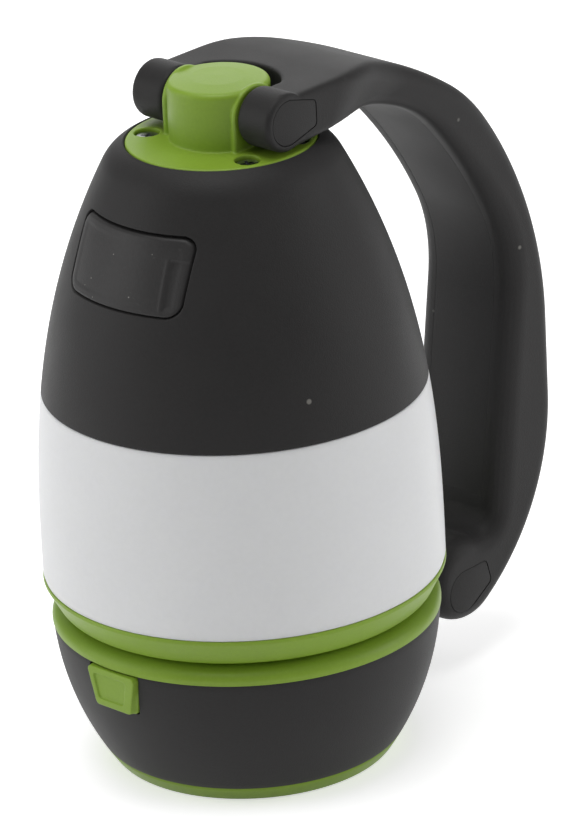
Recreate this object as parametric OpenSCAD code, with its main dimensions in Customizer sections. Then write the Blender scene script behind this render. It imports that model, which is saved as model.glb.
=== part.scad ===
// Folding camping lantern: a pear-shaped lamp head with a spot lens underneath, held over a round
// base by a bow handle. The handle is hinged to the base and to the head, so that the closed
// lantern opens into a desk lamp. Millimetres, +Z up. The origin is on the body's axis, on the
// face that the lantern stands on. The front (port flap, latch) is -Y and the handle is at +Y.

/* [Body] */
// Largest diameter of the head, at the lower bezel
body_d = 105; // [100:1:110]
// Height of the green foot ring
foot_h = 4.3; // [3.9:0.1:5]
// Height of the dark bowl above the foot ring
bowl_h = 34.3; // [33.3:0.5:37.3]
// Height of the green rim of the base
rim_h = 5.3; // [5.1:0.1:6]
// Height of the green bezel under the diffuser
bezel_h = 7.6; // [7.4:0.1:8.4]
// Visible height of the diffuser
diffuser_h = 50.2; // [48.2:0.5:54.2]
// Height of the dark shell above the diffuser
shell_h = 66.7; // [65.7:0.5:70.7]
// Height over the widest point at which the pear shape would close
pear_h = 152.9; // [150.9:1:160.9]
// Power of the pear curve
pear_power = 2.64; // [2.5:0.02:2.8]
// Radius of the base bowl's side
bowl_side_r = 76; // [72:1:84]
// Wall of the dark shell
shell_wall = 2.4; // [2.2:0.1:2.8]
// Wall of the diffuser
diffuser_wall = 2; // [1.6:0.1:2.4]
// Wall of the base bowl
bowl_wall = 2.6; // [2.3:0.1:3]

/* [Top plate] */
// Diameter of the green top plate
plate_d = 49.1; // [48.1:0.1:50.1]
// Thickness of the top plate
plate_t = 4; // [3.8:0.1:4.4]
// Diameter of the round boss between the handle's ears
boss_d = 26.4; // [25.6:0.1:27]
// Height of the boss over the plate
boss_h = 15.7; // [15:0.1:16.2]
// Circle on which the plate screws stand
screw_circle_d = 39.2; // [38.6:0.2:40]
// Diameter of a screw's counterbore
counterbore_d = 6.5; // [6.2:0.1:6.8]

/* [Handle] */
// Height of the head's pivot over the top plate
top_pivot_h = 8.5; // [8.4:0.1:9.5]
// Radius of the upper ears
ear_r = 7.7; // [7.3:0.1:7.8]
// Width over the upper ears
fork_w = 48; // [46:0.5:50]
// Gap between the upper ears
fork_gap = 26; // [25.6:0.1:26.6]
// Width of the grip and the lower end
grip_w = 33; // [32:0.5:35]
// Distance from the body's side to the grip's back
grip_back_out = 53.4; // [52.4:0.5:56.4]
// Width of the cover strip in the grip's inner face
cover_w = 20.6; // [19:0.2:21.4]
// Thickness of the cover strip
cover_t = 2.4; // [2:0.1:2.8]
// Wall of the grip
grip_wall = 3; // [2.6:0.1:3.4]
// Distance from the body's side to the lower pivot
low_pivot_out = 14.3; // [13.8:0.1:15]
// Height of the lower pivot
low_pivot_z = 22.5; // [22:0.1:24]
// Radius of the round lower end
end_r = 14.4; // [14:0.1:15]
// Radius of the lower end's front
heel_r = 11.7; // [11.3:0.1:12.1]
// Rounding of the grip's outer edges
outer_edge_r = 4.5; // [3.5:0.1:5.5]
// Rounding of the grip's inner edges
inner_edge_r = 6; // [5:0.1:6.2]
// Radius of the fork arms' long edges
fork_edge_r = 1.6; // [1:0.1:2]
// Width that the fork narrows to over the grip
fork_end_w = 31; // [28:0.5:33]
// Diameter of the pivot pins
pin_d = 5; // [4.6:0.1:5.4]

/* [Latch] */
// Width of the latch button at its top
latch_top_w = 17.6; // [16.6:0.2:18.4]
// Width of the latch button at its foot
latch_foot_w = 11.4; // [10.6:0.2:12.2]
// Height of the latch button
latch_h = 13; // [12.6:0.2:13.4]
// Distance that the latch button stands proud at its middle
latch_proud = 3; // [2.6:0.1:3.4]
// Travel of the latch button
latch_travel = 1.5; // [1.2:0.1:1.6]

/* [Ports and switch] */
// Width of the port flap
flap_w = 38.8; // [36:0.2:42]
// Height of the port flap
flap_h = 19; // [18:0.5:20]
// Height of the flap's lower edge over the diffuser
flap_lift = 33.4; // [33:0.1:35]
// Thickness of the port flap
flap_t = 2; // [1.8:0.1:2.2]
// Diameter of the power button
button_d = 14; // [12:0.5:15]
// Travel of the power button
button_travel = 0.8; // [0.5:0.1:0.8]

/* [Inside] */
// Diameter of the battery cell
cell_d = 18.4; // [18:0.1:18.6]
// Length of the battery cell
cell_h = 65; // [64:0.5:66]
// Diameter of the spot lens
lens_d = 41; // [39:0.5:42]
// Thickness of the spot lens
lens_t = 2.4; // [2:0.1:2.6]
// Thickness of the circuit boards
board_t = 1.6; // [1.2:0.1:1.8]
// Number of light-emitting diodes in the lantern ring
led_count = 24; // [12:2:30]
// Thickness of the ballast plate
ballast_t = 6; // [4:0.5:7]

/* [Fits] */
// Gap between the closed head and the base
seam_gap = 0.4; // [0.4:0.05:0.6]
// Clearance round a piece that sits still in a pocket
seat_gap = 0.15; // [0.1:0.05:0.2]
// Clearance round a piece that moves
move_gap = 0.35; // [0.3:0.05:0.4]
// Radial clearance of a pin in its bore
pin_gap = 0.05; // [0.03:0.01:0.08]

/* [Hidden] */
$fn = 96;

dark = [0.2, 0.2, 0.2];
rubber = [0.13, 0.13, 0.14];
green = [0.5, 0.68, 0.28];
milky = [0.9, 0.91, 0.92];
white = [0.95, 0.95, 0.94];
steel = [0.72, 0.73, 0.75];
circuit = [0.12, 0.36, 0.2];
amber = [0.95, 0.8, 0.3];
clear = [0.85, 0.9, 0.93];
blue = [0.2, 0.35, 0.6];

// Seams, from the foot up
rim_z = foot_h + bowl_h;
seam_z = rim_z + rim_h - 0.1;
bezel_z = seam_z + seam_gap;
diffuser_z = bezel_z + bezel_h;
shell_z = diffuser_z + diffuser_h;
plate_z = shell_z + shell_h;
pear_z = diffuser_z + 1.9;
body_r = body_d / 2;
rim_r = body_r - 1.7;
core_seat = 0.05;

// Outer radius of the head and of the base at a height
function head_r(z) = body_r * (1 - pow(max(0, z - pear_z) / pear_h, pear_power));
function base_r(z) = rim_r - bowl_side_r + sqrt(pow(bowl_side_r, 2) - pow(seam_z - z, 2));

// Points of an arc round [y, z] from angle a to angle b
function arc(c, r, a, b, n = 8) =
    [for (i = [0:n]) let (t = a + (b - a) * i / n) [c[0] + r * cos(t), c[1] + r * sin(t)]];
// Points of the head's or the base's side, moved in by an inset
function head_side(z0, z1, inset, n = 14) =
    [for (i = [0:n]) let (z = z0 + (z1 - z0) * i / n) [head_r(z) - inset, z]];
function base_side(z0, z1, inset, n = 10) =
    [for (i = [0:n]) let (z = z0 + (z1 - z0) * i / n) [base_r(z) - inset, z]];
function reverse(v) = [for (i = [len(v) - 1:-1:0]) v[i]];

// Draws a [y, z] outline as a slab of the given width, centred on X = 0
module slab(w) {
    translate([-w / 2, 0, 0]) rotate([90, 0, 90]) linear_extrude(w) children();
}
// A cylinder along X round [y, z]
module x_cylinder(c, r, x0, x1, r1 = 0) {
    translate([x0, c[0], c[1]]) rotate([0, 90, 0])
        cylinder(r1 = r, r2 = r1 == 0 ? r : r1, h = x1 - x0);
}
module on_both_sides() {
    children();
    mirror([1, 0, 0]) children();
}
module polar_array(angles, r) {
    for (a = angles) rotate(a) translate([r, 0, 0]) children();
}
// A cross recess that is cut d wide and opens at z = 0
module cross_recess(d, depth) {
    for (a = [0, 90]) rotate(a) translate([-d / 2, -0.4, -depth]) cube([d, 0.8, depth + 1]);
}

// ---- Base ----

pad_t = 1;
pad_in_r = 21;
pad_out_r = 31;
foot_floor_t = 3.4;
foot_lip_t = 1.6;
foot_lip_z = foot_h + 2;
foot_lip_r = base_r(foot_h) - bowl_wall - seat_gap;
base_screw_r = 15;
base_screw_angles = [45:90:315];
screw_d = 3;
screw_head_d = 5.6;
screw_head_t = 2;
module base_foot() {
    color(green) difference() {
        rotate_extrude() polygon(concat(
            [[0, 0]],
            arc([base_r(0) - 1, 1], 1, -90, -10, 4),
            base_side(1.5, foot_h, 0, 3),
            [[foot_lip_r, foot_h], [foot_lip_r, foot_lip_z], [foot_lip_r - foot_lip_t, foot_lip_z],
            [foot_lip_r - foot_lip_t, foot_floor_t], [0, foot_floor_t]]));
        pad_ring(seat_gap, -1, pad_t);
        polar_array(base_screw_angles, base_screw_r) {
            translate([0, 0, -1]) cylinder(d = screw_d + 0.4, h = foot_floor_t + 2);
            translate([0, 0, -1]) cylinder(d = screw_head_d + 0.6, h = 1.4 + screw_head_t);
        }
    }
}
module pad_ring(gap, z0, z1) {
    translate([0, 0, z0]) difference() {
        cylinder(r = pad_out_r + gap, h = z1 - z0);
        translate([0, 0, -1]) cylinder(r = pad_in_r - gap, h = z1 - z0 + 2);
    }
}
module foot_pad() {
    color(rubber) pad_ring(0, 0, pad_t);
}

bracket_w = 32;
bracket_y = body_r + 1.2;
bracket_foot_z = low_pivot_z - 7.5;
bracket_top_z = low_pivot_z + 13;
bracket_edge = 3;
lug_w = 16;
lug_r = 8;
post_z = foot_floor_t + 9.3;
rivet_d = 3.6;
rivet_h = ballast_t + 0.8;
module base_core(inset, z0, z1) {
    rotate_extrude() polygon(concat([[0, z0]], base_side(z0, z1, inset), [[0, z1]]));
}
module base_bowl() {
    color(dark) difference() {
        union() {
            difference() {
                union() {
                    base_core(0, foot_h, rim_z);
                    hinge_bracket();
                }
                base_core(bowl_wall, foot_h - 1, rim_z + 1);
            }
            intersection() {
                base_core(bowl_wall / 2, foot_floor_t, rim_z - tray_drop - core_seat);
                union() {
                    base_posts();
                    latch_housing();
                }
            }
        }
        x_cylinder(low_pivot, pin_d / 2 + pin_gap, -lug_w, lug_w);
        latch_hole();
        translate([0, 0, foot_floor_t - 1]) polar_array(base_screw_angles, base_screw_r)
            cylinder(d = screw_d, h = 9);
    }
}
module hinge_bracket() {
    linear_z = bracket_top_z - bracket_foot_z;
    translate([0, 0, bracket_foot_z]) linear_extrude(linear_z) polygon(concat(
        [[-bracket_w / 2, 0], [bracket_w / 2, 0]],
        arc([bracket_w / 2 - bracket_edge, bracket_y - bracket_edge], bracket_edge, 0, 90),
        arc([-bracket_w / 2 + bracket_edge, bracket_y - bracket_edge], bracket_edge, 90, 180)));
    x_cylinder(low_pivot, lug_r, -lug_w / 2, lug_w / 2);
    translate([-lug_w / 2, 0, low_pivot_z - lug_r]) cube([lug_w, low_pivot[0], 2 * lug_r]);
}
// Posts take the foot's screws, carry the ballast plate and are tied to the wall by two webs
module base_posts() {
    translate([0, 0, foot_floor_t]) polar_array(base_screw_angles, base_screw_r) {
        cylinder(d = screw_d + 5, h = post_z - foot_floor_t);
        cylinder(d = rivet_d, h = post_z - foot_floor_t + rivet_h);
    }
    for (a = [45, 135]) rotate(a) translate([-body_r, -1, foot_lip_z + 0.3])
        cube([2 * body_r, 2, post_z - foot_lip_z - 0.3]);
}

// The tray closes the base. Its dish makes room for the head's edge as the lantern opens
dish_depth = 5.2;
dish_slope = 30;
rim_end_angle = 76;
tray_t = 2.2;
tray_drop = dish_depth + tray_t - (seam_z - rim_z);
rim_c = [rim_r - rim_h / 2, rim_z + rim_h / 2];
rim_edge = rim_c + rim_h / 2 * [cos(rim_end_angle), sin(rim_end_angle)];
dish_z = seam_z - dish_depth;
dish_r = rim_edge[0] - (rim_edge[1] - dish_z) / tan(dish_slope);
tray_r = base_r(rim_z) - bowl_wall - seat_gap - 0.1;
module base_tray() {
    color(green) difference() {
        rotate_extrude() polygon(concat(
            [[0, dish_z - tray_t], [tray_r, dish_z - tray_t], [tray_r, rim_z], [rim_c[0], rim_z]],
            arc(rim_c, rim_h / 2, -60, rim_end_angle, 12),
            [[dish_r, dish_z], [0, dish_z]]));
        latch_hole();
    }
}
ballast_r = base_r(post_z) - bowl_wall - 3;
module ballast_plate() {
    color(steel) translate([0, 0, post_z]) difference() {
        cylinder(r = ballast_r, h = ballast_t);
        translate([0, 0, -1]) polar_array(base_screw_angles, base_screw_r)
            cylinder(d = rivet_d + 0.4, h = ballast_t + 2);
    }
}
module base_screws() {
    color(steel) translate([0, 0, 0.4]) polar_array(base_screw_angles, base_screw_r) {
        difference() {
            cylinder(d = screw_head_d, h = screw_head_t);
            mirror([0, 0, 1]) cross_recess(3.4, 1);
        }
        translate([0, 0, screw_head_t]) cylinder(d = screw_d - 0.2, h = 7);
    }
}

// ---- Latch ----

latch_z = rim_z - latch_h;
latch_mid_z = latch_z + latch_h / 2;
latch_front = -(base_r(latch_mid_z) + latch_proud);
latch_depth = 7;
latch_back = latch_front + latch_depth;
latch_frame = 2.5;
stem_r = 2.4;
spring_h = 6;
spring_wire = 0.7;
spring_turns = 4;
spring_r = stem_r + move_gap + spring_wire / 2;
spring_y = latch_back + latch_travel + 0.1;
housing_y = spring_y + spring_h;
housing_w = 22;
hook_w = 7.6;
hook_t = 1.6;
hook_arm_z = latch_mid_z + 4;
hook_arm_t = 2.2;
hook_y = latch_back + 2.3;
hook_nose = 1;
keeper_t = 2.4;
keeper_y = hook_y - hook_nose - 0.4;
keeper_l = 7.5;
hook_top_z = bezel_z + keeper_t + 1.6;
module latch_prism(grow, y0, y1) {
    translate([0, y1, 0]) rotate([90, 0, 0]) linear_extrude(y1 - y0) polygon([
        [-latch_foot_w / 2 - grow, latch_z - grow], [latch_foot_w / 2 + grow, latch_z - grow],
        [latch_top_w / 2 + grow, rim_z - 0.35 + grow],
        [-latch_top_w / 2 - grow, rim_z - 0.35 + grow]]);
}
module latch_button() {
    color(green) {
        difference() {
            latch_prism(0, latch_front, latch_back);
            latch_prism(-latch_frame, latch_front - 1, latch_front + 0.9);
        }
        translate([0, latch_back - 0.5, latch_mid_z]) rotate([-90, 0, 0])
            cylinder(r = stem_r, h = housing_y - latch_back + 0.5);
        translate([-hook_w / 2, latch_back - 1, hook_arm_z])
            cube([hook_w, hook_y + hook_t - latch_back + 1, hook_arm_t]);
        translate([-hook_w / 2, hook_y, hook_arm_z])
            cube([hook_w, hook_t, hook_top_z - hook_arm_z]);
        translate([-hook_w / 2, hook_y - hook_nose, bezel_z + keeper_t + 0.35])
            cube([hook_w, hook_nose + hook_t, hook_top_z - bezel_z - keeper_t - 0.35]);
    }
}
// The housing holds the spring behind the button
module latch_housing() {
    translate([-housing_w / 2, -body_r, latch_z - 2.6])
        cube([housing_w, body_r + housing_y + 2, body_r]);
}
// Pocket of the button, bore of its stem, seat of the spring and slot of the hook
module latch_hole() {
    latch_prism(move_gap, latch_front - 1, latch_back + latch_travel + move_gap);
    translate([0, latch_back, latch_mid_z]) rotate([-90, 0, 0]) {
        cylinder(r = spring_r + spring_wire / 2 + 0.25, h = housing_y - latch_back);
        cylinder(r = stem_r + move_gap, h = housing_y - latch_back + 4);
    }
    translate([-hook_w / 2 - 0.4, latch_back - 0.5, hook_arm_z - 0.35])
        cube([hook_w + 0.8, hook_y + hook_t + latch_travel + move_gap - latch_back + 0.5,
            seam_z - hook_arm_z + 1]);
}
function coil_ring(t, n, steps) = let (a = 360 * spring_turns * t / steps,
    y = spring_y + spring_wire / 2 + (spring_h - spring_wire) * t / steps)
    [for (i = [0:n - 1]) let (b = 360 * i / n, r = spring_r + spring_wire / 2 * cos(b))
        [r * cos(a), y + spring_wire / 2 * sin(b), latch_mid_z + r * sin(a)]];
module latch_spring() {
    n = 8;
    steps = 16 * spring_turns;
    color(steel) polyhedron(
        points = [for (t = [0:steps]) each coil_ring(t, n, steps)],
        faces = concat(
            [[for (i = [0:n - 1]) i]],
            [[for (i = [n - 1:-1:0]) steps * n + i]],
            [for (t = [0:steps - 1], i = [0:n - 1]) let (j = (i + 1) % n)
                [t * n + j, t * n + i, (t + 1) * n + i, (t + 1) * n + j]]));
}

// ---- Handle ----

top_pivot = [0, plate_z + top_pivot_h];
low_pivot = [body_r + low_pivot_out, low_pivot_z];
cheek_w = fork_gap - 0.6;
slot_w = lug_w + 2 * move_gap;
slot_r = lug_r + move_gap;
swing = 45;

// Seen from the side as [y, z], the outer line runs from the fork over a chain of arcs, each
// [radius, turn], to a straight back, and over one more arc into the round lower end. Each point
// is moved in by an inset e.
back_y = body_r + grip_back_out;
fork_z = top_pivot[1] + 6.2;
shoulder_r = 55;
neck_r = 135;
bend_r = 50;
back_r = 105.5;
belly_r = 62.1;
crown_arcs = [[shoulder_r, 18.6], [neck_r, 15.8], [bend_r, 19.2], [back_r, 36.4]];
crown_count = len(crown_arcs);
function crown_turn(i) = i == 0 ? 0 : crown_turn(i - 1) + crown_arcs[i - 1][1];
function crown_run(i) = i == 0 ? [0, 0] : crown_run(i - 1) + crown_arcs[i - 1][0]
    * [sin(crown_turn(i)) - sin(crown_turn(i - 1)), cos(crown_turn(i)) - cos(crown_turn(i - 1))];
crown_y = back_y - crown_run(crown_count)[0];
function crown_centre(i) = [crown_y, fork_z] + crown_run(i)
    - crown_arcs[i][0] * [sin(crown_turn(i)), cos(crown_turn(i))];
function crown_line(e, first) = [for (i = [first:crown_count - 1]) let (t = 90 - crown_turn(i))
    each arc(crown_centre(i), crown_arcs[i][0] - e, t, t - crown_arcs[i][1], 5)];
end_c = low_pivot + [2.6, 5];
belly_y = back_y - belly_r;
belly_z = end_c[1] + sqrt(pow(belly_r - end_r, 2) - pow(end_c[0] - belly_y, 2));
end_turn = atan2(belly_z - end_c[1], end_c[0] - belly_y);
heel_turn = 125;
heel_c = end_c + (end_r - heel_r) * [cos(heel_turn), -sin(heel_turn)];
function outer_line(e) = concat(
    [[0, fork_z - e]], crown_line(e, 0),
    arc([belly_y, belly_z], belly_r - e, 0, -end_turn, 8),
    arc(end_c, end_r - e, -end_turn, -heel_turn, 6),
    arc(heel_c, heel_r - e, -heel_turn, heel_contact - 360, 14));

// The inner line is a chain of arcs, each [radius, turn], from the fork's underside to a straight
// stretch, and a hollow corner onto the lower end
palm_arcs = [[85, 21.6], [41.5, 25.8], [126, 16.7], [43, 34.1]];
palm_in = 4;
palm_start = [crown_y - palm_in, top_pivot[1] - 6.3];
palm_count = len(palm_arcs);
function palm_turn(i) = i == 0 ? 0 : palm_turn(i - 1) + palm_arcs[i - 1][1];
function palm_point(i) = i == 0 ? palm_start : palm_point(i - 1) + palm_arcs[i - 1][0]
    * [sin(palm_turn(i)) - sin(palm_turn(i - 1)), cos(palm_turn(i)) - cos(palm_turn(i - 1))];
function palm_centre(i) = palm_point(i) - palm_arcs[i][0] * [sin(palm_turn(i)), cos(palm_turn(i))];
palm_end = palm_point(palm_count);
palm_lean = palm_turn(palm_count) - 90;
palm_dir = [-sin(palm_lean), -cos(palm_lean)];
corner_r = 6;
corner_line = palm_end + corner_r * [-cos(palm_lean), sin(palm_lean)];
corner_along = (heel_c - corner_line) * palm_dir;
corner_off = norm(corner_line + corner_along * palm_dir - heel_c);
corner_c = corner_line
    + (corner_along - sqrt(pow(heel_r + corner_r, 2) - pow(corner_off, 2))) * palm_dir;
heel_contact = atan2(corner_c[1] - heel_c[1], corner_c[0] - heel_c[0]);
function palm_line(e) = [for (i = [0:palm_count - 1]) let (t = 90 - palm_turn(i))
    each arc(palm_centre(i), palm_arcs[i][0] + e, t, t - palm_arcs[i][1], 5)];
function corner_top(e) = corner_c + (corner_r + e) * [cos(palm_lean), -sin(palm_lean)];
function inner_line(e) = concat(
    [[0, top_pivot[1] - ear_r + e]],
    palm_line(e),
    arc(corner_c, corner_r + e, -palm_lean, heel_contact - 180, 5));
module handle_side(e_out, e_in) {
    polygon(concat(outer_line(e_out), reverse(inner_line(e_in))));
}
// Inset of a rounded edge of radius r at a distance d from the side face
function edge_inset(d, r) = r - sqrt(pow(r, 2) - pow(max(0, r - d), 2));
edge_steps = 5;
edge_depths = [for (i = [0:edge_steps]) inner_edge_r * (1 - sin(90 * i / edge_steps))];
fork_taper_y = [17.3, 51.3];
function fork_taper(e) = [for (i = [0:8]) let (t = i / 8)
    [fork_end_w / 2 - e + (fork_w - fork_end_w) / 2 * (0.5 + 0.5 * cos(180 * t)),
    fork_taper_y[0] + (fork_taper_y[1] - fork_taper_y[0]) * t]];
notch_r = boss_d / 2 + 2.7;
cap_r = 5.9;
cap_t = 2;
cap_tail = 10.2;
cap_edge = 1.5;
cap_taper = 15;
low_cap_turn = 16;
ear_chamfer = 0.8;
hinge_head_d = 9;
hinge_head_t = 2;
washer_t = 0.6;
// Room between the upper screws' heads and the caps over them
head_room = 0.9;
seat_x = fork_w / 2 - cap_t - head_room - hinge_head_t - washer_t;
// Radial gap of the pressed lower pin in the handle
pin_seat = 0.01;
cap_corner = [cap_tail - cap_edge,
    (cap_r - cap_edge - (cap_tail - cap_edge) * sin(cap_taper)) / cos(cap_taper)];
module cap_outline(gap) {
    polygon(concat(
        arc([0, 0], cap_r + gap, 90 - cap_taper, 270 + cap_taper, 14),
        arc([cap_corner[0], -cap_corner[1]], cap_edge + gap, cap_taper - 90, 0, 4),
        arc(cap_corner, cap_edge + gap, 0, 90 - cap_taper, 4)));
}
module cap_prism(pivot, turn, x0, x1, gap) {
    translate([x0, pivot[0], pivot[1]]) rotate([90, 0, 90]) linear_extrude(x1 - x0)
        rotate(turn) cap_outline(gap);
}
module grip_layers() {
    for (d = edge_depths) {
        slab(grip_w - 2 * d) handle_side(edge_inset(d, outer_edge_r), edge_inset(d, inner_edge_r));
    }
}
module fork_body() {
    for (d = edge_depths) intersection() {
        slab(fork_w - 2 * d) handle_side(edge_inset(d, fork_edge_r), edge_inset(d, fork_edge_r));
        linear_extrude(2 * plate_z) polygon(concat(
            [[-fork_w / 2 + d, 0], [fork_w / 2 - d, 0]],
            fork_taper(d), reverse([for (q = fork_taper(d)) [-q[0], q[1]]])));
    }
    on_both_sides() {
        x_cylinder(top_pivot, ear_r, fork_gap / 2, fork_w / 2 - ear_chamfer);
        x_cylinder(top_pivot, ear_r, fork_w / 2 - ear_chamfer, fork_w / 2, ear_r - ear_chamfer);
    }
}
module handle_shell() {
    color(dark) difference() {
        union() {
            difference() {
                grip_layers();
                translate([-grip_w, -1, 0]) cube([2 * grip_w, 21, 2 * plate_z]);
            }
            fork_body();
        }
        intersection() {
            translate([0, 0, plate_z - 10]) cylinder(r = notch_r, h = 40);
            cube([fork_gap, 4 * notch_r, 4 * plate_z], center = true);
        }
        on_both_sides() {
            x_cylinder(top_pivot, pin_d / 2 + pin_gap, 0, fork_w);
            x_cylinder(top_pivot, hinge_head_d / 2 + 0.3, seat_x, fork_w);
            x_cylinder(low_pivot, hinge_head_d / 2 + 0.3, grip_w / 2 - cap_t - hinge_head_t - 0.3,
                grip_w);
            cap_prism(top_pivot, 0, fork_w / 2 - cap_t - 0.1, fork_w, seat_gap);
            cap_prism(low_pivot, low_cap_turn, grip_w / 2 - cap_t - 0.1, grip_w, seat_gap);
        }
        x_cylinder(low_pivot, pin_d / 2 + pin_seat, -grip_w, grip_w);
        lug_slot();
        slab(cover_w + 2 * seat_gap) cover_outline(-1, cover_t + core_seat, seat_gap);
        slab(cover_w - 4) grip_hollow();
    }
}
// Room for the base's lug over the whole swing
module lug_slot() {
    reach = 60;
    s = [cos(225), sin(225)];
    up = [0, slot_r];
    down = slot_r * [cos(315), sin(315)];
    x_cylinder(low_pivot, slot_r, -slot_w / 2, slot_w / 2);
    slab(slot_w) translate(low_pivot) polygon([up, up - [reach, 0], -up - [reach, 0],
        reach * s - down, reach * s + down, down]);
}
module cover_outline(e0, e1, gap) {
    stop = 3 - gap;
    polygon(concat(palm_line(e0), [corner_top(e0) - stop * palm_dir],
        [corner_top(e1) - stop * palm_dir], reverse(palm_line(e1))));
}
hollow_stop = 8;
// The hollow under the cover strip
module grip_hollow() {
    polygon(concat(
        crown_line(grip_wall, 1),
        arc([belly_y, belly_z], belly_r - grip_wall, 0, -20, 4),
        [corner_top(cover_t) - hollow_stop * palm_dir], reverse(palm_line(0))));
}
module handle_cover() {
    color(dark) slab(cover_w) cover_outline(0, cover_t, 0);
}
module upper_cap() {
    color(dark) cap_prism(top_pivot, 0, fork_w / 2 - cap_t, fork_w / 2, 0);
}
module lower_cap() {
    color(dark) cap_prism(low_pivot, low_cap_turn, grip_w / 2 - cap_t, grip_w / 2, 0);
}
module upper_cap_left() {
    mirror([1, 0, 0]) upper_cap();
}
module upper_cap_right() {
    upper_cap();
}
module lower_cap_left() {
    mirror([1, 0, 0]) lower_cap();
}
module lower_cap_right() {
    lower_cap();
}
module upper_pivot_screws() {
    color(steel) on_both_sides() difference() {
        union() {
            x_cylinder(top_pivot, pin_d / 2, 4, seat_x + washer_t);
            x_cylinder(top_pivot, hinge_head_d / 2, seat_x + washer_t,
                seat_x + washer_t + hinge_head_t);
        }
        translate([seat_x + washer_t + hinge_head_t, 0, top_pivot[1]]) rotate([0, 90, 0])
            cross_recess(5, 1.1);
    }
}
module upper_washers() {
    color(steel) on_both_sides() difference() {
        x_cylinder(top_pivot, hinge_head_d / 2, seat_x, seat_x + washer_t);
        x_cylinder(top_pivot, pin_d / 2 + 0.1, seat_x - 1, seat_x + washer_t + 1);
    }
}
module lower_pivot_pin() {
    head_x = grip_w / 2 - cap_t - hinge_head_t - 0.3;
    color(steel) union() {
        x_cylinder(low_pivot, pin_d / 2, -head_x, head_x);
        on_both_sides() x_cylinder(low_pivot, hinge_head_d / 2, head_x, head_x + hinge_head_t);
    }
}

// ---- Head: shell and top plate ----

// The crown starts at its own depth under the plate, or lower where a slim pear would leave less
// than two walls round the plate's seat
crown_h = 5.7;
function pear_height(r) = pear_z + pear_h * pow(1 - r / body_r, 1 / pear_power);
crown_low_z = min(plate_z - crown_h, pear_height(plate_d / 2 + seat_gap + 2 * shell_wall));
crown_low = [head_r(crown_low_z), crown_low_z];
crown_high = [plate_d / 2 + seat_gap, plate_z];
pear_slope = body_r * pear_power / pear_h
    * pow((crown_low[1] - pear_z) / pear_h, pear_power - 1);
crown_start = 90 + atan(pear_slope);
crown_step = crown_high - crown_low;
crown_bend = 2 * (atan2(crown_step[1], crown_step[0]) - crown_start);
crown_r = norm(crown_step) / 2 / sin(crown_bend / 2);
crown_c = crown_low - crown_r * [sin(crown_start), -cos(crown_start)];
ledge_z = plate_z - plate_t;
ledge_t = 2.4;
ledge_r = 15;
spigot_t = 1.4;
spigot_h = 2.7;
seal_t = 1;
reflector_t = 1.6;
reflector_z = shell_z + spigot_h + seal_t - 0.3;
stop_z = reflector_z + reflector_t;
upper_spigot_r = head_r(stop_z) - shell_wall - seat_gap;
lower_spigot_r = body_r - 3.3;
screw_boss_r = 3.1;
plate_screw_angles = [for (a = [63, 117]) each [a - 90, -a - 90]];
module head_shell() {
    color(dark) difference() {
        union() {
            rotate_extrude() polygon(concat(
                head_side(shell_z, crown_low[1], 0, 18),
                arc(crown_c, crown_r, crown_start - 90, crown_start - 90 + crown_bend, 6),
                [[crown_high[0], ledge_z], [ledge_r, ledge_z], [ledge_r, ledge_z - ledge_t]],
                reverse(head_side(stop_z + 2, ledge_z - ledge_t, shell_wall, 14)),
                [[head_r(stop_z) - shell_wall - 2, stop_z + 2],
                [head_r(stop_z) - shell_wall - 2, stop_z],
                [head_r(stop_z) - shell_wall, stop_z], [head_r(shell_z) - shell_wall, shell_z]]));
            intersection() {
                rotate_extrude() polygon(concat([[0, shell_z + 9]],
                    head_side(shell_z + 9, ledge_z, shell_wall / 2), [[0, ledge_z]]));
                union() {
                    port_block();
                    board_posts();
                    button_block();
                    translate([0, 0, ledge_z - 8]) polar_array(plate_screw_angles,
                        screw_circle_d / 2) cylinder(r = screw_boss_r, h = 8);
                }
            }
        }
        flap_region(-1, flap_t + flap_seat, move_gap);
        port_openings();
        button_frame() translate([0, 0, -20]) cylinder(d = button_d + 2 * move_gap, h = 40);
        translate([0, 0, ledge_z - 7]) polar_array(plate_screw_angles, screw_circle_d / 2)
            cylinder(d = screw_d, h = 9);
    }
}
boss_edge = 1;
boss_dome = 0.9;
cheek_r = 8.2;
module top_plate() {
    boss_r = boss_d / 2;
    boss_z = plate_z + boss_h;
    color(green) difference() {
        union() {
            rotate_extrude() polygon([[0, ledge_z], [plate_d / 2, ledge_z],
                [plate_d / 2, plate_z - 0.3], [plate_d / 2 - 0.4, plate_z], [boss_r, plate_z + 0.3],
                [0, plate_z + 0.3]]);
            intersection() {
                union() {
                    rotate_extrude() polygon(concat([[0, plate_z], [boss_r, plate_z]],
                        arc([boss_r - boss_edge, boss_z - boss_edge], boss_edge, 0, 80, 4),
                        [[0, boss_z + boss_dome]]));
                    slab(cheek_w) translate(top_pivot) circle(r = cheek_r);
                    translate([-cheek_w / 2, -cheek_r, plate_z])
                        cube([cheek_w, 2 * cheek_r, top_pivot_h]);
                }
                translate([-cheek_w / 2, -body_r, 0]) cube([cheek_w, body_d, 2 * plate_z]);
            }
        }
        on_both_sides() x_cylinder(top_pivot, pin_d / 2 + pin_gap, 3.5, fork_gap);
        polar_array(plate_screw_angles, screw_circle_d / 2) {
            translate([0, 0, ledge_z - 1]) cylinder(d = screw_d + 0.4, h = plate_t + 2);
            translate([0, 0, plate_z - 2.8]) cylinder(d = counterbore_d, h = 4);
        }
    }
}
module plate_screws() {
    color(steel) translate([0, 0, plate_z - 2.8]) polar_array(plate_screw_angles,
        screw_circle_d / 2) difference() {
        union() {
            cylinder(d = screw_head_d, h = screw_head_t);
            translate([0, 0, -6.8]) cylinder(d = screw_d - 0.2, h = 7);
        }
        translate([0, 0, screw_head_t]) cross_recess(3.4, 1.1);
    }
}

// ---- Head: ports, flap and switch ----

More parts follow.
